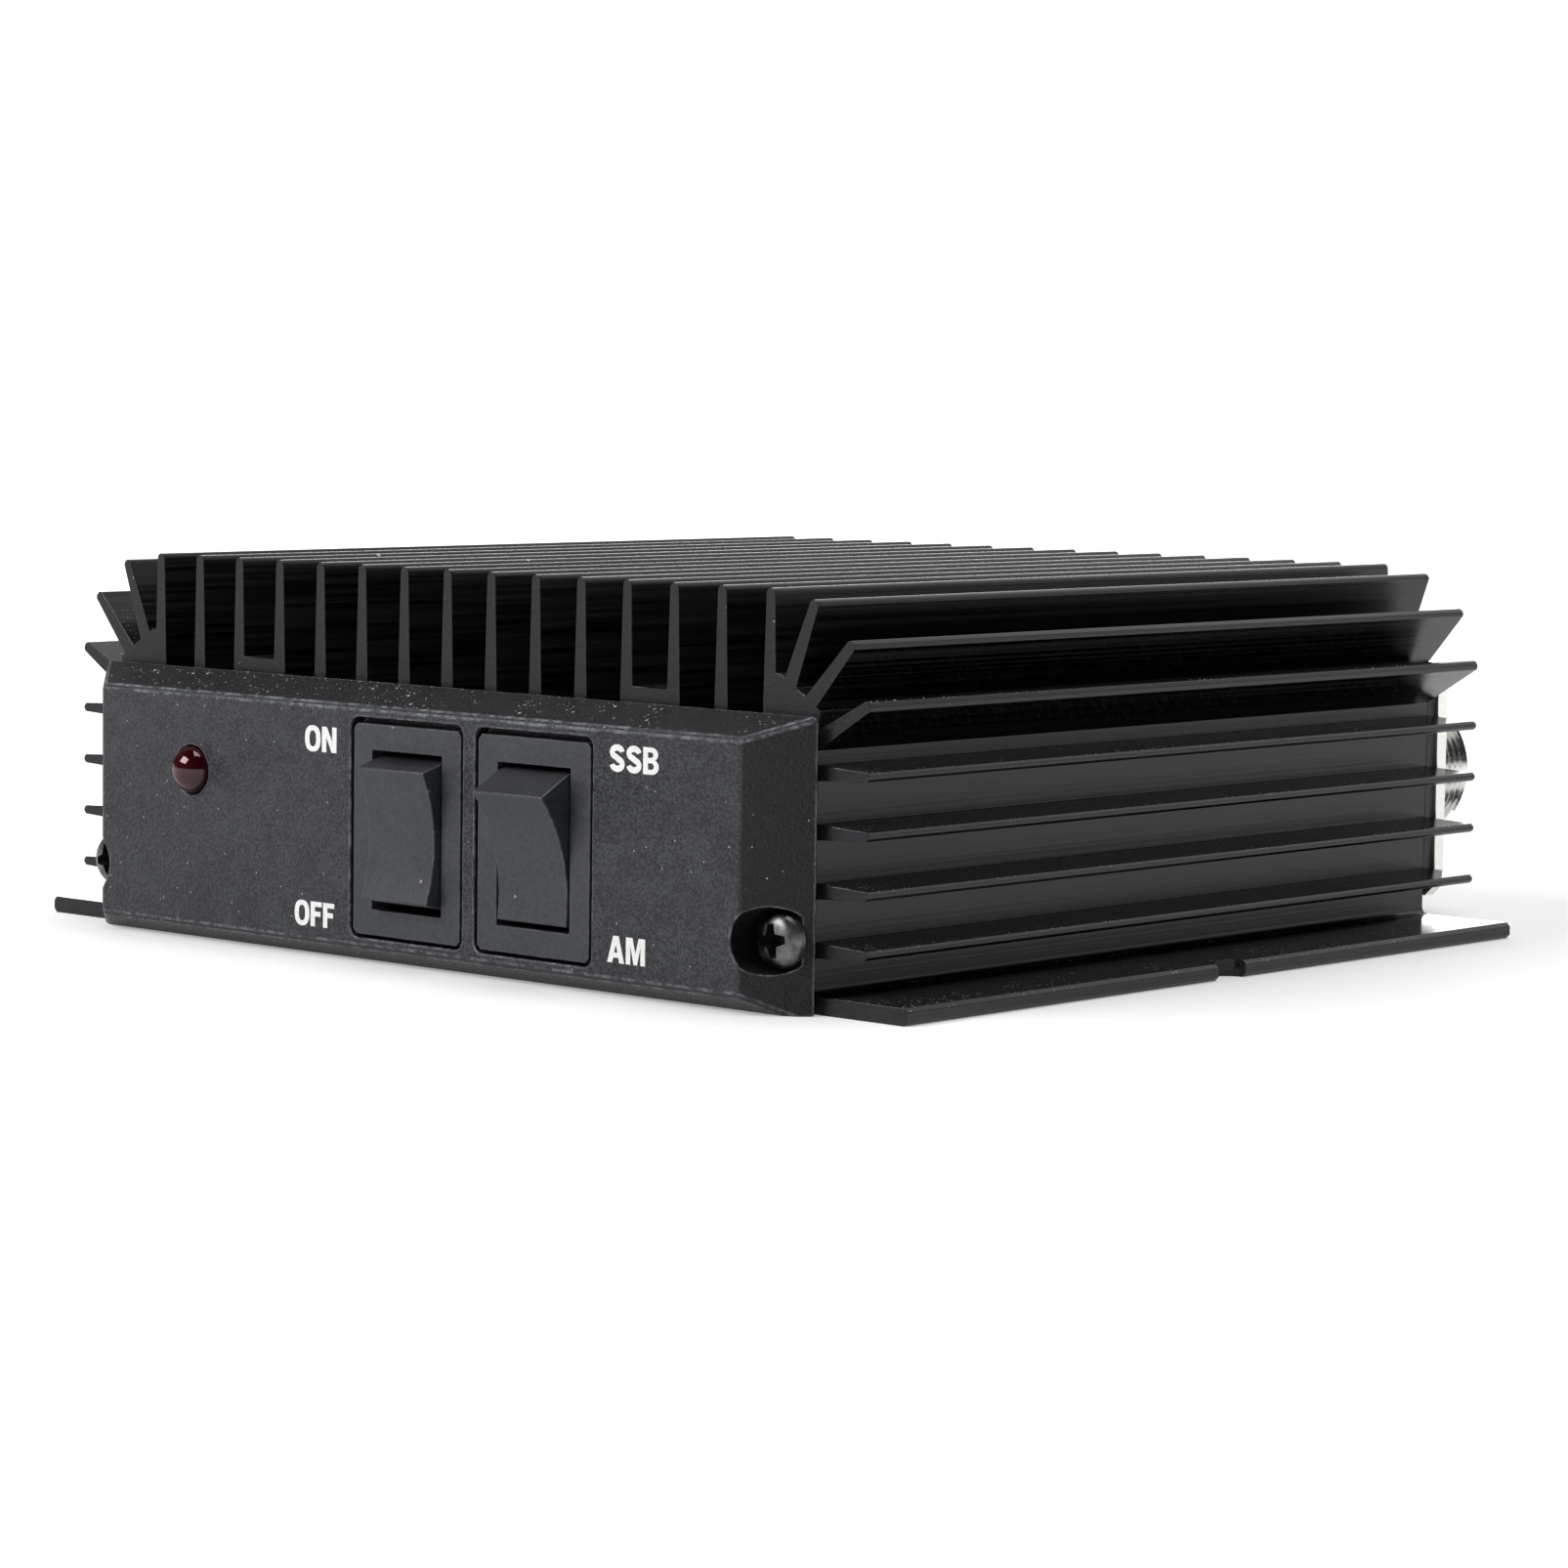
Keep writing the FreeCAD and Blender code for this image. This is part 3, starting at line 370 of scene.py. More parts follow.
MATERIALS = {
    "black_anodised": black_anodised("black_anodised"),
    "black_anodised_sheet": black_anodised("black_anodised_sheet"),
    "sawn_ends": sawn_ends(),
    "black_sheet": black_sheet(),
    "black_moulding": black_moulding(),
    "worn_and_highlit_moulding": worn_and_highlit_edge("worn_and_highlit_moulding", (0.026, 0.028, 0.033), (0.15, 0.155, 0.168)),
    "black_satin": black_nylon("black_satin", 0.05),
    "black_gloss": black_nylon("black_gloss", 0.08),
    "worn_and_highlit_nylon": worn_and_highlit_edge("worn_and_highlit_nylon", (0.026, 0.029, 0.036), (0.085, 0.089, 0.098)),
    "recess_shade_and_grime": recess_shade_and_grime(),
    "red_lens": red_epoxy(),
    "board_laminate": board_green(),
}
MATERIALS.update((name, metal(name, *facts)) for name, facts in METALS.items())
MATERIALS.update((name, plain(name, *facts)) for name, facts in PLAINS.items())
RECORD = frame["record"]
NODE_SLOT = {part["node"]: part["material_slot"] for part in RECORD["subparts"]}
BODY_OF = {node: body for body, nodes in RECORD["behaviour"]["bodies"].items() for node in nodes}


# ------------------------------------------------------------------ making pieces
SHARP_ANGLE = math.radians(25)
STEEPEST_CHAMFER = math.radians(60)
SAME_PLANE_ANGLE = math.radians(0.4)
FIN_TIP_LEVEL, FIN_TIP_LENGTH, FIN_TIP_SEGMENTS = 38 * MM, 50 * MM, 4
ADDED_MATERIAL, SECOND_ADDED_MATERIAL, NEIGHBOURS_MATERIAL = 1, 2, -1


def loose(data):
    """Linked object of a mesh, curve, light or camera, which isn't a piece."""
    holder = bpy.data.objects.new(data.name, data)
    bpy.context.scene.collection.objects.link(holder)
    return holder


def applied(holder):
    """Mesh of an object, with its modifiers or its curve's thickness applied."""
    bpy.context.view_layer.update()
    return bpy.data.meshes.new_from_object(holder.evaluated_get(bpy.context.evaluated_depsgraph_get()))


def finished(bm, name):
    """Mesh of a bmesh, with its normals facing out."""
    mesh = bpy.data.meshes.new(name)
    bmesh.ops.recalc_face_normals(bm, faces=bm.faces)
    bm.to_mesh(mesh)
    bm.free()
    return mesh


def joined(name, meshes):
    """One mesh of several, welded where they meet."""
    bm = bmesh.new()
    for mesh in meshes:
        bm.from_mesh(mesh)
    bmesh.ops.remove_doubles(bm, verts=bm.verts, dist=WELD)
    return finished(bm, name)


def place(name, mesh, body, slot, material=None):
    """Make a mesh a piece on a body; it looks like its slot, or like the material given."""
    piece = bpy.data.objects.new(name, mesh)
    bpy.context.scene.collection.objects.link(piece)
    mesh.materials.clear()
    mesh.materials.append(MATERIALS[material or slot])
    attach(piece, body)
    return piece


def shade(piece, angle=35.0):
    """Smooth shading that keeps corners above an angle in degrees sharp, and flat faces flat."""
    mesh = piece.data
    mesh.shade_smooth()
    mesh.set_sharp_from_angle(angle=math.radians(angle))
    normals = piece.modifiers.new("flat faces stay flat", "WEIGHTED_NORMAL")
    normals.keep_sharp = True
    normals.weight = 100
    return piece


def edge_angle(edge):
    return edge.calc_face_angle(0.0) if len(edge.link_faces) == 2 else 0.0


def rounded_edges(bm, edges, width, segments, slot=NEIGHBOURS_MATERIAL):
    """Bevel edges to a width in mm; the new faces take the material in a slot of the piece."""
    bmesh.ops.bevel(bm, geom=edges, offset=width * MM, offset_type="OFFSET", segments=segments,
                    profile=0.5, affect="EDGES", clamp_overlap=False, material=slot)


def on_fin_tip(edge):
    """True for the lengthwise edges between the flat and the chamfers of a top fin."""
    low = min(vert.co.z for vert in edge.verts)
    lengthwise = abs(edge.verts[0].co.y - edge.verts[1].co.y) > FIN_TIP_LENGTH
    return lengthwise and low > FIN_TIP_LEVEL and SHARP_ANGLE < edge_angle(edge) < STEEPEST_CHAMFER


def softened(node, width, segments=2, tip_width=0.0, worn_and_highlit=None):
    """Piece that stands for a CAD node: its mesh with edges rounded to widths in mm, which may take a lighter
    strip for wear and a painted highlight.
    """
    bm = bmesh.new()
    bm.from_mesh(frame["nodes"][node].data)
    bmesh.ops.remove_doubles(bm, verts=bm.verts, dist=WELD)
    bmesh.ops.dissolve_limit(bm, angle_limit=SAME_PLANE_ANGLE, verts=bm.verts, edges=bm.edges)
    if tip_width:
        rounded_edges(bm, [e for e in bm.edges if on_fin_tip(e)], tip_width, FIN_TIP_SEGMENTS)
    sharp = [e for e in bm.edges if edge_angle(e) > SHARP_ANGLE]
    rounded_edges(bm, sharp, width, segments, ADDED_MATERIAL if worn_and_highlit else NEIGHBOURS_MATERIAL)
    face_slots = [face.material_index for face in bm.faces]
    piece = place(f"{node}_finished", finished(bm, node), BODY_OF[node], NODE_SLOT[node])
    if worn_and_highlit:
        piece.data.materials.append(MATERIALS[worn_and_highlit])
        piece.data.polygons.foreach_set("material_index", face_slots)
    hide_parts(node)
    return shade(piece)


def cut(piece, cutters):
    """Take cutters out of a piece for good, and weld the slivers that this leaves."""
    for cutter in cutters:
        step = piece.modifiers.new("cut", "BOOLEAN")
        step.operation = "DIFFERENCE"
        step.solver = "EXACT"
        step.material_mode = "TRANSFER"
        step.object = cutter
        result = applied(piece)
        piece.modifiers.clear()
        piece.data = result
        bpy.data.objects.remove(cutter)
    bm = bmesh.new()
    bm.from_mesh(piece.data)
    bmesh.ops.remove_doubles(bm, verts=bm.verts, dist=2 * WELD)
    bmesh.ops.dissolve_degenerate(bm, edges=bm.edges, dist=2 * WELD)
    bm.to_mesh(piece.data)
    bm.free()


def on_circle(x, z, radius, angle, y):
    """Point in metres, on a circle about the line along Y through (x, z), from lengths in mm."""
    return (x + radius * math.cos(angle)) * MM, y * MM, (z + radius * math.sin(angle)) * MM


def turned(profile, columns, x, z, name):
    """Solid of revolution about a line along Y through (x, z).

    The profile is a list of (radius, y) in mm that starts and ends on the axis.
    """
    bm = bmesh.new()
    rings = []
    for radius, y in profile:
        count = columns if radius else 1
        rings.append([bm.verts.new(on_circle(x, z, radius, 2 * math.pi * step / columns, y))
                      for step in range(count)])
    for first, second in zip(rings[:-1], rings[1:]):
        for step in range(columns):
            after = (step + 1) % columns
            corners = [first[step % len(first)], first[after % len(first)],
                       second[after % len(second)], second[step % len(second)]]
            bm.faces.new(list(dict.fromkeys(corners)))
    return finished(bm, name)


def standing_plate(name, loops, thickness, origin, soft=0.0):
    """Plate across Y from closed loops of (x, z) in mm about an origin; its edges may be rounded."""
    curve = bpy.data.curves.new(name, "CURVE")
    curve.dimensions = "2D"
    curve.fill_mode = "BOTH"
    curve.extrude = (thickness / 2 - soft) * MM
    curve.bevel_depth = soft * MM
    curve.bevel_resolution = 2
    curve.offset = -soft * MM
    for loop in loops:
        spline = curve.splines.new("POLY")
        spline.points.add(len(loop) - 1)
        for point, (px, pz) in zip(spline.points, loop):
            point.co = (px * MM, pz * MM, 0, 1)
        spline.use_cyclic_u = True
    holder = loose(curve)
    mesh = applied(holder)
    bpy.data.objects.remove(holder)
    mesh.transform(Matrix.Translation(Vector(origin) * MM) @ Matrix.Rotation(math.radians(90), 4, "X"))
    return mesh


def node_mm(node):
    """Lowest and highest corner of a CAD node's box, in mm."""
    low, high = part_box(node)
    return [v / MM for v in low], [v / MM for v in high]


def axis_mm(node):
    """Middle of a node in X and in Z, and its front and rear in Y, in mm."""
    low, high = node_mm(node)
    return (low[0] + high[0]) / 2, (low[2] + high[2]) / 2, low[1], high[1]


# ------------------------------------------------------------------ screws
HEAD_RADIUS, HEAD_HEIGHT = 2.75, 1.9
HEAD_CROWN = ((0.0, 0.0), (0.9, 0.03), (1.7, 0.2), (2.25, 0.52), (2.6, 0.95))    # radius, depth below the top
HEAD_RIM = ((HEAD_RADIUS, 0.6), (HEAD_RADIUS, 0.12), (2.62, 0.0))    # radius, height above the seat
NECK_RADIUS, PLAIN_LENGTH, POINT_RADIUS, POINT_LENGTH = 1.15, 1.2, 0.85, 0.7
SHANK_RADIUS, GROOVE_DEPTH, SHANK_PITCH, ROWS_PER_GROOVE = 1.13, 0.24, 1.06, 4
SCREW_COLUMNS = 40
CROSS_TURN = math.radians(8)
CROSS_OUTLINE = ((-1, -0.5), (0, -1), (1, -0.5), (1, 0.5), (0, 1), (-1, 0.5))
CROSS_LEVELS = ((-0.4, 1.85, 0.8), (0.45, 1.5, 0.66), (1.6, 0.5, 0.36))    # depth, half length, half width


def pan_head(x, z, seat, direction, length):
    """Pan head on a grooved shank with a blunt point; direction +1 drives it towards +Y."""
    head = [(radius, HEAD_HEIGHT - depth) for radius, depth in HEAD_CROWN] + list(HEAD_RIM)
    shank = [(NECK_RADIUS, 0.0)]
    for row in range(1, int((length - PLAIN_LENGTH) / SHANK_PITCH) * ROWS_PER_GROOVE):
        in_groove = row % ROWS_PER_GROOVE in (0, 1)
        radius = SHANK_RADIUS - (GROOVE_DEPTH if in_groove else 0.0)
        shank.append((radius, -row * SHANK_PITCH / ROWS_PER_GROOVE))
    shank += [(POINT_RADIUS, -length + POINT_LENGTH), (0.0, -length)]
    profile = [(radius, seat - direction * height) for radius, height in head + shank]
    return turned(profile, SCREW_COLUMNS, x, z, "pan_head")


def cross_cutters(x, z, crown, direction):
    """Two tapered six-sided bars that cut the cross recess."""
    cutters = []
    for crosswise in (False, True):
        bm = bmesh.new()
        rings = []
        for depth, half_long, half_wide in CROSS_LEVELS:
            ring = []
            for a, b in CROSS_OUTLINE:
                along, across = a * half_long, b * half_wide
                dx, dz = (along, across) if crosswise else (-across, along)
                rx = dx * math.cos(CROSS_TURN) - dz * math.sin(CROSS_TURN)
                rz = dx * math.sin(CROSS_TURN) + dz * math.cos(CROSS_TURN)
                ring.append(bm.verts.new(((x + rx) * MM, (crown + direction * depth) * MM, (z + rz) * MM)))
            rings.append(ring)
        corners = len(CROSS_OUTLINE)
        for first, second in zip(rings[:-1], rings[1:]):
            for step in range(corners):
                after = (step + 1) % corners
                bm.faces.new((first[step], first[after], second[after], second[step]))
        bm.faces.new(rings[0])
        bm.faces.new(rings[-1])
        cutter = loose(finished(bm, "cross"))
        # The cutters pass the near-black recess film to the recess faces: grime and painted shade.
        cutter.data.materials.append(MATERIALS["recess_shade_and_grime"])
        cutters.append(cutter)
    return cutters


def screw(name, x, z, seat, direction, length, slot):
    """Screw whose head rests at a seat on the line along Y through (x, z)."""
    piece = place(name, pan_head(x, z, seat, direction, length), BODY_OF["heatsink_housing"], slot)
    cut(piece, cross_cutters(x, z, seat - direction * HEAD_HEIGHT, direction))
    return shade(piece, 30)


# ------------------------------------------------------------------ coaxial sockets
FLANGE_SIDE, FLANGE_CORNER, FLANGE_THICKNESS, FLANGE_SOFT = 25.4, 1.2, 1.7, 0.12
FLANGE_HOLE_RADIUS, FLANGE_HOLE_OFFSET, FLANGE_HOLE_STEPS, BORE_STEPS = 1.4, 9.15, 28, 48
THREAD_CREST, THREAD_DEPTH, THREAD_PITCH, ROWS_PER_PITCH = 7.94, 0.58, 1.058, 8
THREAD_START, THREAD_FADE = 0.3, 0.8    # plain length at the flange, then the length in which it deepens
FLANK_SLOPE, FLANK_SHIFT = 1.35, 0.15   # make crest and root flat over part of the pitch
RIM_RADIUS, RIM_ROWS = 7.3, (0.95, 0.8, 0.65, 0.45, 0.2, 0.0)
BORE_RADIUS, BORE_CHAMFER = 6.2, 0.15
KEY_DEPTH, KEY_HALF_ANGLE, KEY_COLUMNS, ARC_COLUMNS = 1.3, math.radians(8), 3, 12


def barrel_angles():
    """Column angles round the barrel, with columns at the sides of and in the four key slots."""
    angles = []
    gap = math.pi / 2 - 2 * KEY_HALF_ANGLE
    for quarter in range(4):
        middle = (quarter + 0.5) * math.pi / 2
        angles += [middle + third * KEY_HALF_ANGLE / 3 for third in (-3, -1, 1, 3)]
        angles += [middle + KEY_HALF_ANGLE + gap * step / ARC_COLUMNS for step in range(1, ARC_COLUMNS)]
    return angles


def thread_radius(from_start, from_rim, angle, y):
    """Outside radius of the barrel: a helical thread that starts gently and ends in a chamfer at the rim."""
    phase = (y / THREAD_PITCH - angle / (2 * math.pi)) % 1.0
    flank = min(1.0, max(0.0, abs(2 * phase - 1) * FLANK_SLOPE - FLANK_SHIFT))
    fade = min(1.0, max(0.0, (from_start - THREAD_START) / THREAD_FADE))
    return min(THREAD_CREST - THREAD_DEPTH * fade * flank, RIM_RADIUS + from_rim)


def threaded_barrel(x, z, y0, y1):
    """Barrel from its flange to its rim: threaded outside, a plain bore, and four key slots in the rim."""
    angles = barrel_angles()
    columns = len(angles)
    quarter = columns // 4
    rows = [y0]
    while rows[-1] + THREAD_PITCH / ROWS_PER_PITCH < y1 - KEY_DEPTH:
        rows.append(rows[-1] + THREAD_PITCH / ROWS_PER_PITCH)
    key_row = len(rows)
    rows += [y1 - KEY_DEPTH] + [y1 - step for step in RIM_ROWS]
    rim_row = len(rows) - 1
    bm = bmesh.new()

    def ring(y, radii):
        return [bm.verts.new(on_circle(x, z, radius, a, y)) for radius, a in zip(radii, angles)]

    outer = [ring(y, [thread_radius(y - y0, y1 - y, a, y) for a in angles]) for y in rows]
    bores = ((0, BORE_RADIUS), (key_row, BORE_RADIUS), (rim_row, BORE_RADIUS + BORE_CHAMFER))
    inner = [ring(rows[row], [radius] * columns) for row, radius in bores]

    def in_key(column):
        return column % quarter < KEY_COLUMNS

    for column in range(columns):
        after = (column + 1) % columns
        top, inner_top = (key_row, 1) if in_key(column) else (rim_row, 2)
        for low, high in zip(outer[:top], outer[1:top + 1]):
            bm.faces.new((low[column], low[after], high[after], high[column]))
        for low, high in zip(inner[:inner_top], inner[1:inner_top + 1]):
            bm.faces.new((low[after], low[column], high[column], high[after]))
        rim = inner[inner_top]
        bm.faces.new((outer[top][column], outer[top][after], rim[after], rim[column]))
        bm.faces.new((outer[0][after], outer[0][column], inner[0][column], inner[0][after]))
        if in_key(column) != in_key(column - 1):
            wall = [outer[row][column] for row in range(key_row, rim_row + 1)]
            bm.faces.new(wall + [inner[2][column], inner[1][column]])
    bmesh.ops.delete(bm, geom=[v for v in bm.verts if not v.link_faces], context="VERTS")
    return finished(bm, "barrel")


def hole(x, z, radius, steps):
    """Points round a hole in a plate, in the opposite sense to the plate's outline."""
    turns = [2 * math.pi * step / steps for step in range(steps)]
    return [(x + radius * math.cos(turn), z - radius * math.sin(turn)) for turn in turns]


def flange_plate(x, z, y0, y1):
    """Square plate with clipped corners, a centre bore and four screw holes."""
    half = FLANGE_SIDE / 2
    clipped = half - FLANGE_CORNER
    outline = []
    for sx, sz in ((1, 1), (-1, 1), (-1, -1), (1, -1)):
        pair = [(sx * half, sz * clipped), (sx * clipped, sz * half)]
        outline += pair if sx == sz else pair[::-1]
    offsets = (-FLANGE_HOLE_OFFSET, FLANGE_HOLE_OFFSET)
    loops = [outline, hole(0, 0, BORE_RADIUS, BORE_STEPS)]
    loops += [hole(dx, dz, FLANGE_HOLE_RADIUS, FLANGE_HOLE_STEPS) for dx in offsets for dz in offsets]
    return standing_plate("flange", loops, y1 - y0, (x, (y0 + y1) / 2, z), FLANGE_SOFT)


def dress_socket(side):
    """Shell with flange and threaded barrel in place of the plain one, and its insulator and contact."""
    node = f"{side}_socket_shell"
    x, z, front, rear = axis_mm(node)
    flange_rear = front + FLANGE_THICKNESS
    meshes = [flange_plate(x, z, front, flange_rear), threaded_barrel(x, z, flange_rear, rear)]
    shell = place(f"{node}_threaded", joined("shell", meshes), BODY_OF[node], NODE_SLOT[node])
    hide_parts(f"{side}_socket_shell")
    shade(shell, 32)
    softened(f"{side}_socket_insulator", 0.15)
    softened(f"{side}_socket_contact", 0.12)


# ------------------------------------------------------------------ indicator lamp
LENS_COLUMNS, DOME_ROWS, LENS_CHAMFER = 48, 12, 0.1


def lamp():
    """Lens with a half-round dome in front and a small chamfer at its back."""
    low, high = node_mm("led_lens")
    radius = (high[0] - low[0]) / 2
    x, z, tip, back = axis_mm("led_lens")
    profile = [(0.0, tip)]
    for row in range(1, DOME_ROWS + 1):
        a = math.pi / 2 * row / DOME_ROWS
        profile.append((radius * math.sin(a), tip + radius * (1 - math.cos(a))))
    profile += [(radius, back - LENS_CHAMFER), (radius - LENS_CHAMFER, back), (0.0, back)]
    mesh = turned(profile, LENS_COLUMNS, x, z, "lens")
    lens = place("led_lens_clear", mesh, BODY_OF["led_lens"], NODE_SLOT["led_lens"])
    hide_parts("led_lens")
    shade(lens, 40)


# ------------------------------------------------------------------ printed words
STROKE, LETTER_GAP = 0.235, 0.08    # in cap heights
PRINT_PROUD, PRINT_SUNK = 0.02, 0.01


def bow(cx, cy, rx, ry, first, last, steps=14):
    """Points of an elliptic arc between two angles in degrees."""
    turns = [math.radians(first + (last - first) * step / steps) for step in range(steps + 1)]
    return [(cx + rx * math.cos(turn), cy + ry * math.sin(turn)) for turn in turns]


def rounded(cx, cy, rx, ry, steps=44, power=0.82):
    """Points of an oval that is a little squarer than an ellipse."""
    points = []
    for step in range(steps):
        c, s = math.cos(2 * math.pi * step / steps), math.sin(2 * math.pi * step / steps)
        points.append((cx + rx * math.copysign(abs(c) ** power, c),
                       cy + ry * math.copysign(abs(s) ** power, s)))
    return points


def stroke(line, width):
    """Outline of a line drawn with a flat pen of one width."""
    left, right = [], []
    for k, (x, y) in enumerate(line):
        (x0, y0), (x1, y1) = line[max(k - 1, 0)], line[min(k + 1, len(line) - 1)]
        length = math.hypot(x1 - x0, y1 - y0)
        nx, ny = (y0 - y1) / length * width / 2, (x1 - x0) / length * width / 2
        left.append((x + nx, y + ny))
        right.append((x - nx, y - ny))
    return left + right[::-1]


# Each letter: its width in cap heights, then its outlines, with the counters last.
LETTERS = {
    "O": (0.86, [rounded(0.43, 0.5, 0.43, 0.515), rounded(0.43, 0.5, 0.185, 0.315)]),
    "N": (0.8, [[(0, 0), (0, 1), (0.26, 1), (0.56, 0.42), (0.56, 1), (0.8, 1), (0.8, 0), (0.54, 0),
                 (0.24, 0.58), (0.24, 0)]]),
    "F": (0.65, [[(0, 0), (0, 1), (0.65, 1), (0.65, 0.8), (0.25, 0.8), (0.25, 0.61), (0.58, 0.61),
                  (0.58, 0.41), (0.25, 0.41), (0.25, 0)]]),
    "S": (0.76, [stroke(bow(0.38, 0.72, 0.255, 0.175, 8, 248, 20)
                        + bow(0.38, 0.285, 0.26, 0.18, 68, -172, 20), STROKE)]),
    "B": (0.78, [[(0, 0), (0, 1)] + bow(0.42, 0.745, 0.32, 0.255, 90, -62)
                 + bow(0.43, 0.285, 0.35, 0.285, 58, -90),
                 [(0.24, 0.62), (0.24, 0.82)] + bow(0.4, 0.72, 0.105, 0.1, 90, -90),
                 [(0.24, 0.18), (0.24, 0.42)] + bow(0.42, 0.3, 0.115, 0.12, 90, -90)]),
    "A": (0.88, [[(0, 0), (0.3, 1), (0.58, 1), (0.88, 0), (0.625, 0), (0.575, 0.19), (0.305, 0.19),
                  (0.255, 0)],
                 [(0.355, 0.38), (0.44, 0.7), (0.525, 0.38)]]),
    "M": (0.98, [[(0, 0), (0, 1), (0.33, 1), (0.49, 0.42), (0.65, 1), (0.98, 1), (0.98, 0), (0.75, 0),
                  (0.75, 0.7), (0.58, 0), (0.4, 0), (0.23, 0.7), (0.23, 0)]]),
}

# Each word: its left and right, and its bottom and top, on the cap's front in mm.
WORDS = {
    "ON": ((-13.85, -9.25), (20.8, 23.35)),
    "OFF": ((-15.25, -9.45), (3.2, 5.7)),
    "SSB": ((28.35, 34.7), (21.6, 24.15)),
    "AM": ((28.3, 33.2), (3.5, 6.05)),
}


def printed(word, left, right, bottom, top):
    """Screen-printed word, drawn letter by letter and fitted to its size on the front."""
    start = 0.0
    loops = []
    for letter in word:
        width, outlines = LETTERS[letter]
        loops += [[(start + x, y) for x, y in outline] for outline in outlines]
        start += width + LETTER_GAP
    scale_x, scale_z = (right - left) / (start - LETTER_GAP), top - bottom
    loops = [[(x * scale_x, y * scale_z) for x, y in loop] for loop in loops]
    depth = node_mm("front_cap")[0][1] + (PRINT_SUNK - PRINT_PROUD) / 2
    mesh = standing_plate(f"print_{word}", loops, PRINT_PROUD + PRINT_SUNK, (left, depth, bottom))
    place(f"print_{word}", mesh, BODY_OF["front_cap"], "black_moulding", "print_white")


# ------------------------------------------------------------------ the object
COUNTERBORE_RADIUS, COUNTERBORE_MOUTH = 3.2, 0.1
CAP_SCREW_LENGTH, SOCKET_SCREW_LENGTH = 9.0, 8.0
END_FACE = 0.98    # least part along Y of the normal of a sawn end

for node, obj in frame["nodes"].items():
    obj.data.materials.clear()
    obj.data.materials.append(MATERIALS[NODE_SLOT[node]])

housing = softened("heatsink_housing", 0.07, tip_width=0.18)
housing.data.materials.append(MATERIALS["sawn_ends"])
for face in housing.data.polygons:
    if abs(face.normal.y) > END_FACE:
        face.material_index = ADDED_MATERIAL
cap = softened("front_cap", 0.16, worn_and_highlit="worn_and_highlit_moulding")
# The cap's third material is the near-black recess film: grime and painted shade.
cap.data.materials.append(MATERIALS["recess_shade_and_grime"])
softened("rear_panel", 0.12)
softened("bottom_cover", 0.12)
softened("cable_grommet", 0.45, 4)
for switch in ("power", "mode"):
    softened(f"{switch}_switch_frame", 0.1, worn_and_highlit="worn_and_highlit_nylon")
    softened(f"{switch}_rocker", 0.14, 3, worn_and_highlit="worn_and_highlit_nylon")
for side in ("radio", "antenna"):
    dress_socket(side)
lamp()

front_low, front_high = node_mm("front_cap_screws")
screw_x = front_high[0] - HEAD_RADIUS
screw_z = (front_low[2] + front_high[2]) / 2
counterbore_y = node_mm("front_cap")[0][1] + COUNTERBORE_MOUTH
# Painted shade: faces inside the counterbores take the near-black recess film, standing in for their shadow
# as well as grime.
for face in cap.data.polygons:
    corners = [cap.data.vertices[index].co / MM for index in face.vertices]
    if all(math.hypot(abs(x) - screw_x, z - screw_z) < COUNTERBORE_RADIUS and y > counterbore_y
           for x, y, z in corners):
        face.material_index = SECOND_ADDED_MATERIAL
for side, x in (("left", -screw_x), ("right", screw_x)):
    made = screw(f"front_cap_screw_{side}", x, screw_z, front_low[1] + HEAD_HEIGHT, 1, CAP_SCREW_LENGTH,
                 "black_steel")
    if side == "right":
        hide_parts("front_cap_screws")

seat = node_mm("socket_screws")[1][1] - HEAD_HEIGHT
socket_x, socket_z = axis_mm("antenna_socket_shell")[:2]
for side, sx in (("radio", -1), ("antenna", 1)):
    for spot, step in (("inner", -1), ("outer", 1)):
        offset = step * FLANGE_HOLE_OFFSET
        made = screw(f"{side}_socket_screw_{spot}", sx * (socket_x + offset), socket_z - offset, seat, -1,
                     SOCKET_SCREW_LENGTH, "zinc_steel")
        if (side, spot) == ("antenna", "outer"):
            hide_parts("socket_screws")

for word, (across, upwards) in WORDS.items():
    printed(word, *across, *upwards)


# ------------------------------------------------------------------ floor, light and camera
FLOOR_HALF, FLOOR_SHADE, FLOOR_ROUGHNESS = 4.0, 0.64, 0.7
FLOOR_FADE = (0.06, 0.75, 0.32, 1.0)    # two distances from the origin in metres, and the glow at each

# Each lamp: its name, place, target and size in metres, and its power in watts.
LAMPS = (
    ("top_box", (0.05, 0.06, 0.93), (0, 0, 0), (0.65, 0.5), 5.5),
    ("front_box", (-0.42, -0.88, 0.76), (0, 0, 0.02), (0.75, 0.5), 13.0),
    ("back_box", (-0.79, 0.89, 0.13), (0, 0, 0.04), (0.6, 0.16), 0.95),
)

# The camera as fitted to the photograph's straight edges; place in metres, turns in degrees.
CAMERA_PLACE = (0.3364, -0.3801, 0.0603)
CAMERA_YAW, CAMERA_PITCH, CAMERA_ROLL = -41.67, -5.10, 0.80
CAMERA_LENS, CAMERA_SENSOR, CAMERA_CLIP = 108.92, 36.0, (0.01, 20)


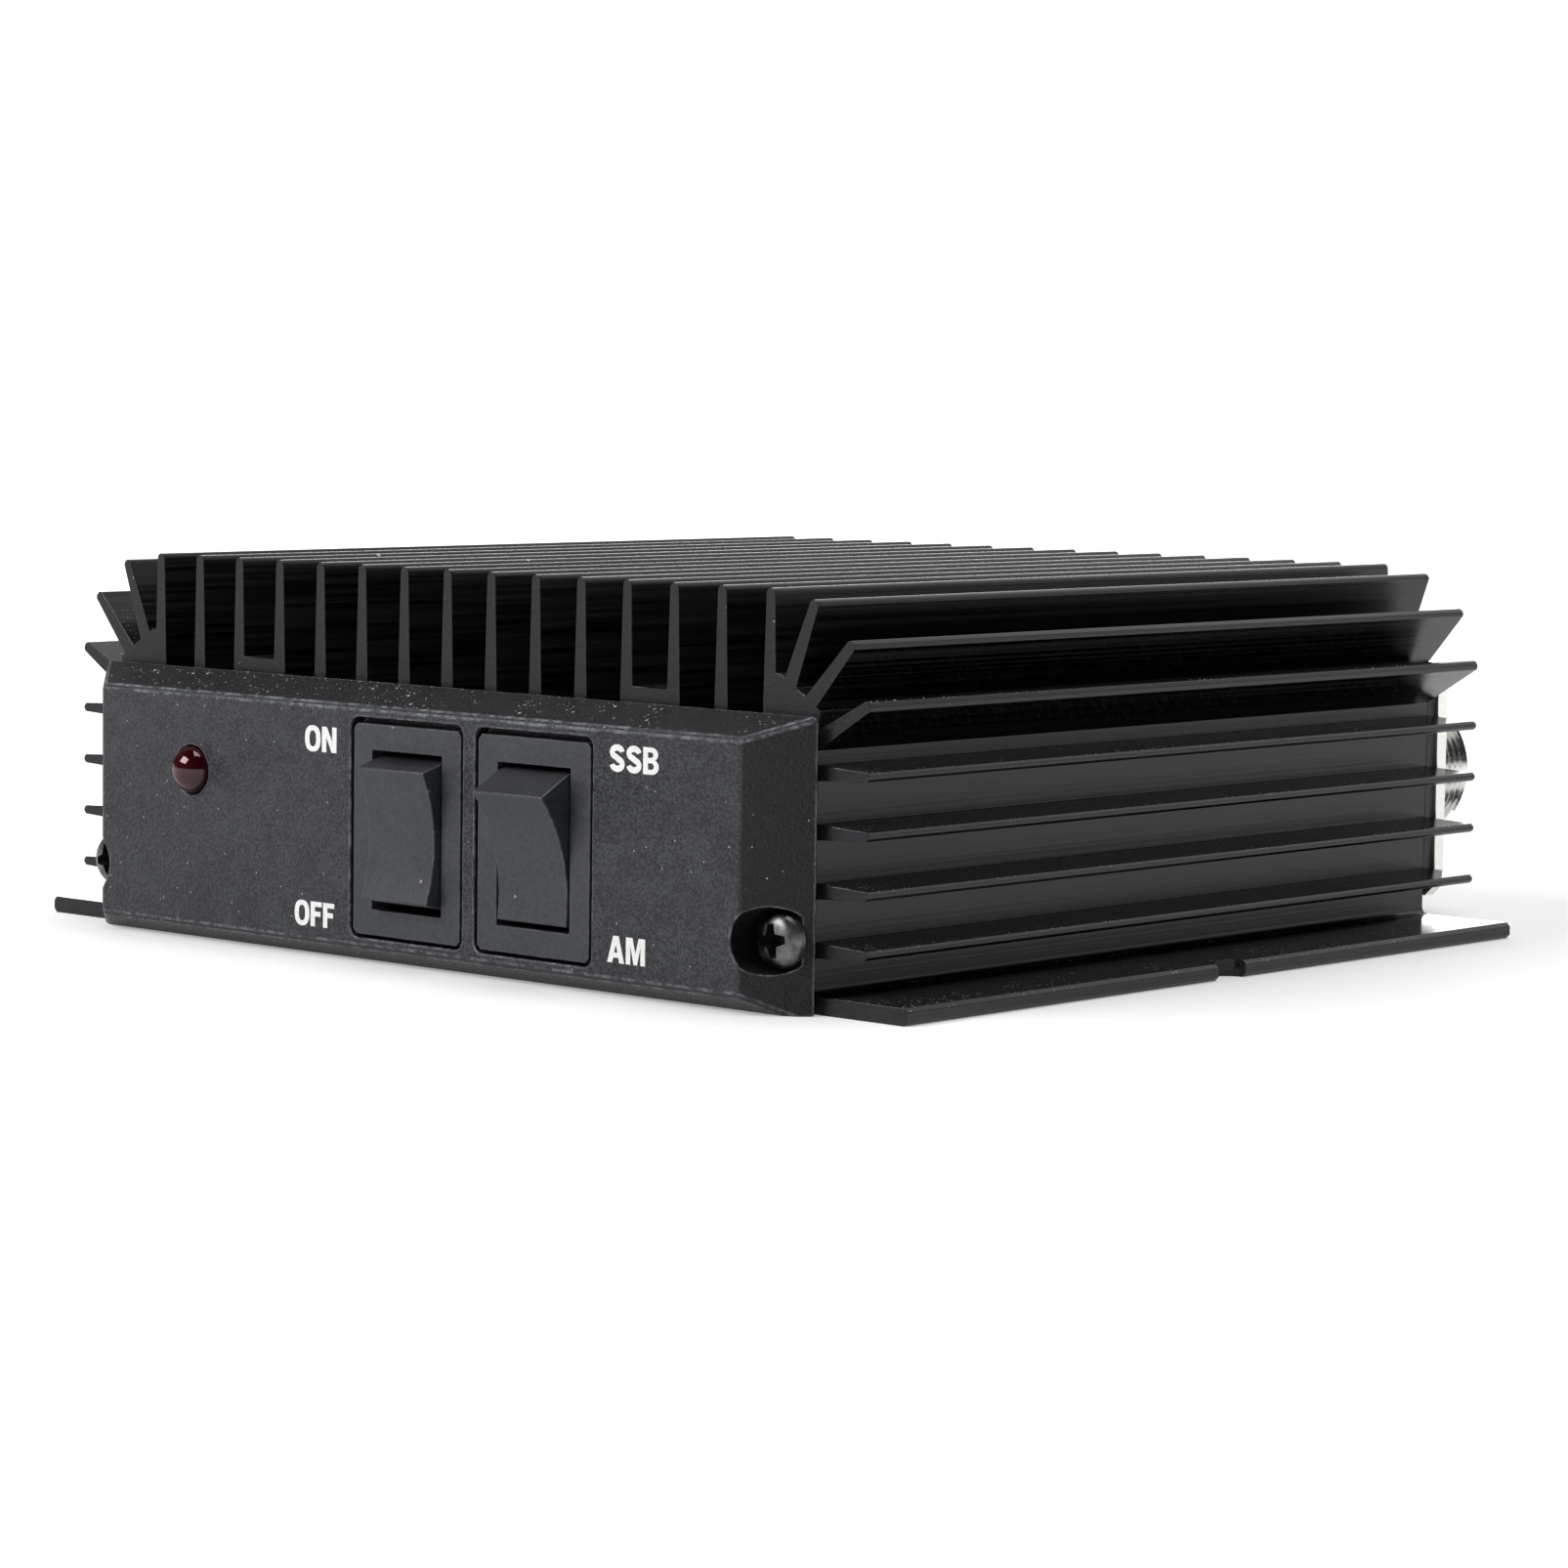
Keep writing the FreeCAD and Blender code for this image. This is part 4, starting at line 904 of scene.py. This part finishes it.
def make_floor():
    """Pale floor that keeps the object's shadow and fades to white with distance."""
    bm = bmesh.new()
    bmesh.ops.create_grid(bm, x_segments=1, y_segments=1, size=FLOOR_HALF)
    floor = loose(finished(bm, "floor"))
    s = Shader("floor_white", (FLOOR_SHADE,) * 3, FLOOR_ROUGHNESS, Specular_IOR_Level=0.1)
    distance = s.nodes.new("ShaderNodeVectorMath")
    distance.operation = "LENGTH"
    s.feed(distance.inputs[0], s.where)
    fade = s.span(distance.outputs["Value"], *FLOOR_FADE)
    glow = s.node("ShaderNodeEmission", Strength=s.times(fade, s.seen_directly()))
    both = s.nodes.new("ShaderNodeAddShader")
    s.feed(both.inputs[0], s.bsdf.outputs[0])
    s.feed(both.inputs[1], glow.outputs[0])
    s.feed(s.nodes["Material Output"].inputs["Surface"], both.outputs[0])
    floor.data.materials.append(s.material)


def make_world():
    """White backdrop behind the object and white all round at the horizon; dim overhead and in front."""
    world = bpy.data.worlds.new("studio")
    bpy.context.scene.world = world
    world.use_nodes = True
    s = Nodes(world.node_tree)
    direction = s.parts(s.node("ShaderNodeTexCoord").outputs["Generated"])
    backdrop = s.span(direction[Y], 0.5, 0.6, 0.07, 1.0)
    backdrop = s.times(backdrop, s.span(direction[Z], 0.6, 0.95, 1.0, 0.3))
    backdrop = s.times(backdrop, s.span(direction[X], 0.2, 0.8, 1.0, 0.3))
    horizon = s.span(direction[Z], 0.07, 0.12, 1.0, 0.0)
    background = s.nodes["Background"].inputs
    background["Color"].default_value = (1, 1, 1, 1)
    s.feed(background["Strength"], s.larger(backdrop, horizon))


def soft_box(name, place, target, size, power):
    """Rectangular area light that is turned towards a target."""
    light = bpy.data.lights.new(name, "AREA")
    light.shape = "RECTANGLE"
    light.size, light.size_y = size
    light.energy = power
    box = loose(light)
    box.location = place
    box.rotation_euler = (Vector(target) - Vector(place)).to_track_quat("-Z", "Y").to_euler()


def make_camera():
    """Camera at the photograph's viewpoint."""
    data = bpy.data.cameras.new("camera")
    data.sensor_width = CAMERA_SENSOR
    data.lens = CAMERA_LENS
    data.clip_start, data.clip_end = CAMERA_CLIP
    camera = loose(data)
    yaw, pitch, roll = (math.radians(turn) for turn in (CAMERA_YAW, CAMERA_PITCH, CAMERA_ROLL))
    forward = Vector((math.sin(yaw) * math.cos(pitch), math.cos(yaw) * math.cos(pitch), math.sin(pitch)))
    right = Vector((math.cos(yaw), -math.sin(yaw), 0))
    up = right.cross(forward)
    right_rolled = right * math.cos(roll) + up * math.sin(roll)
    up_rolled = up * math.cos(roll) - right * math.sin(roll)
    turn = Matrix((right_rolled, up_rolled, -forward)).transposed()
    camera.matrix_world = Matrix.Translation(CAMERA_PLACE) @ turn.to_4x4()
    bpy.context.scene.camera = camera


make_floor()
make_world()
for facts in LAMPS:
    soft_box(*facts)
make_camera()
bpy.context.scene.view_settings.view_transform = "Standard"
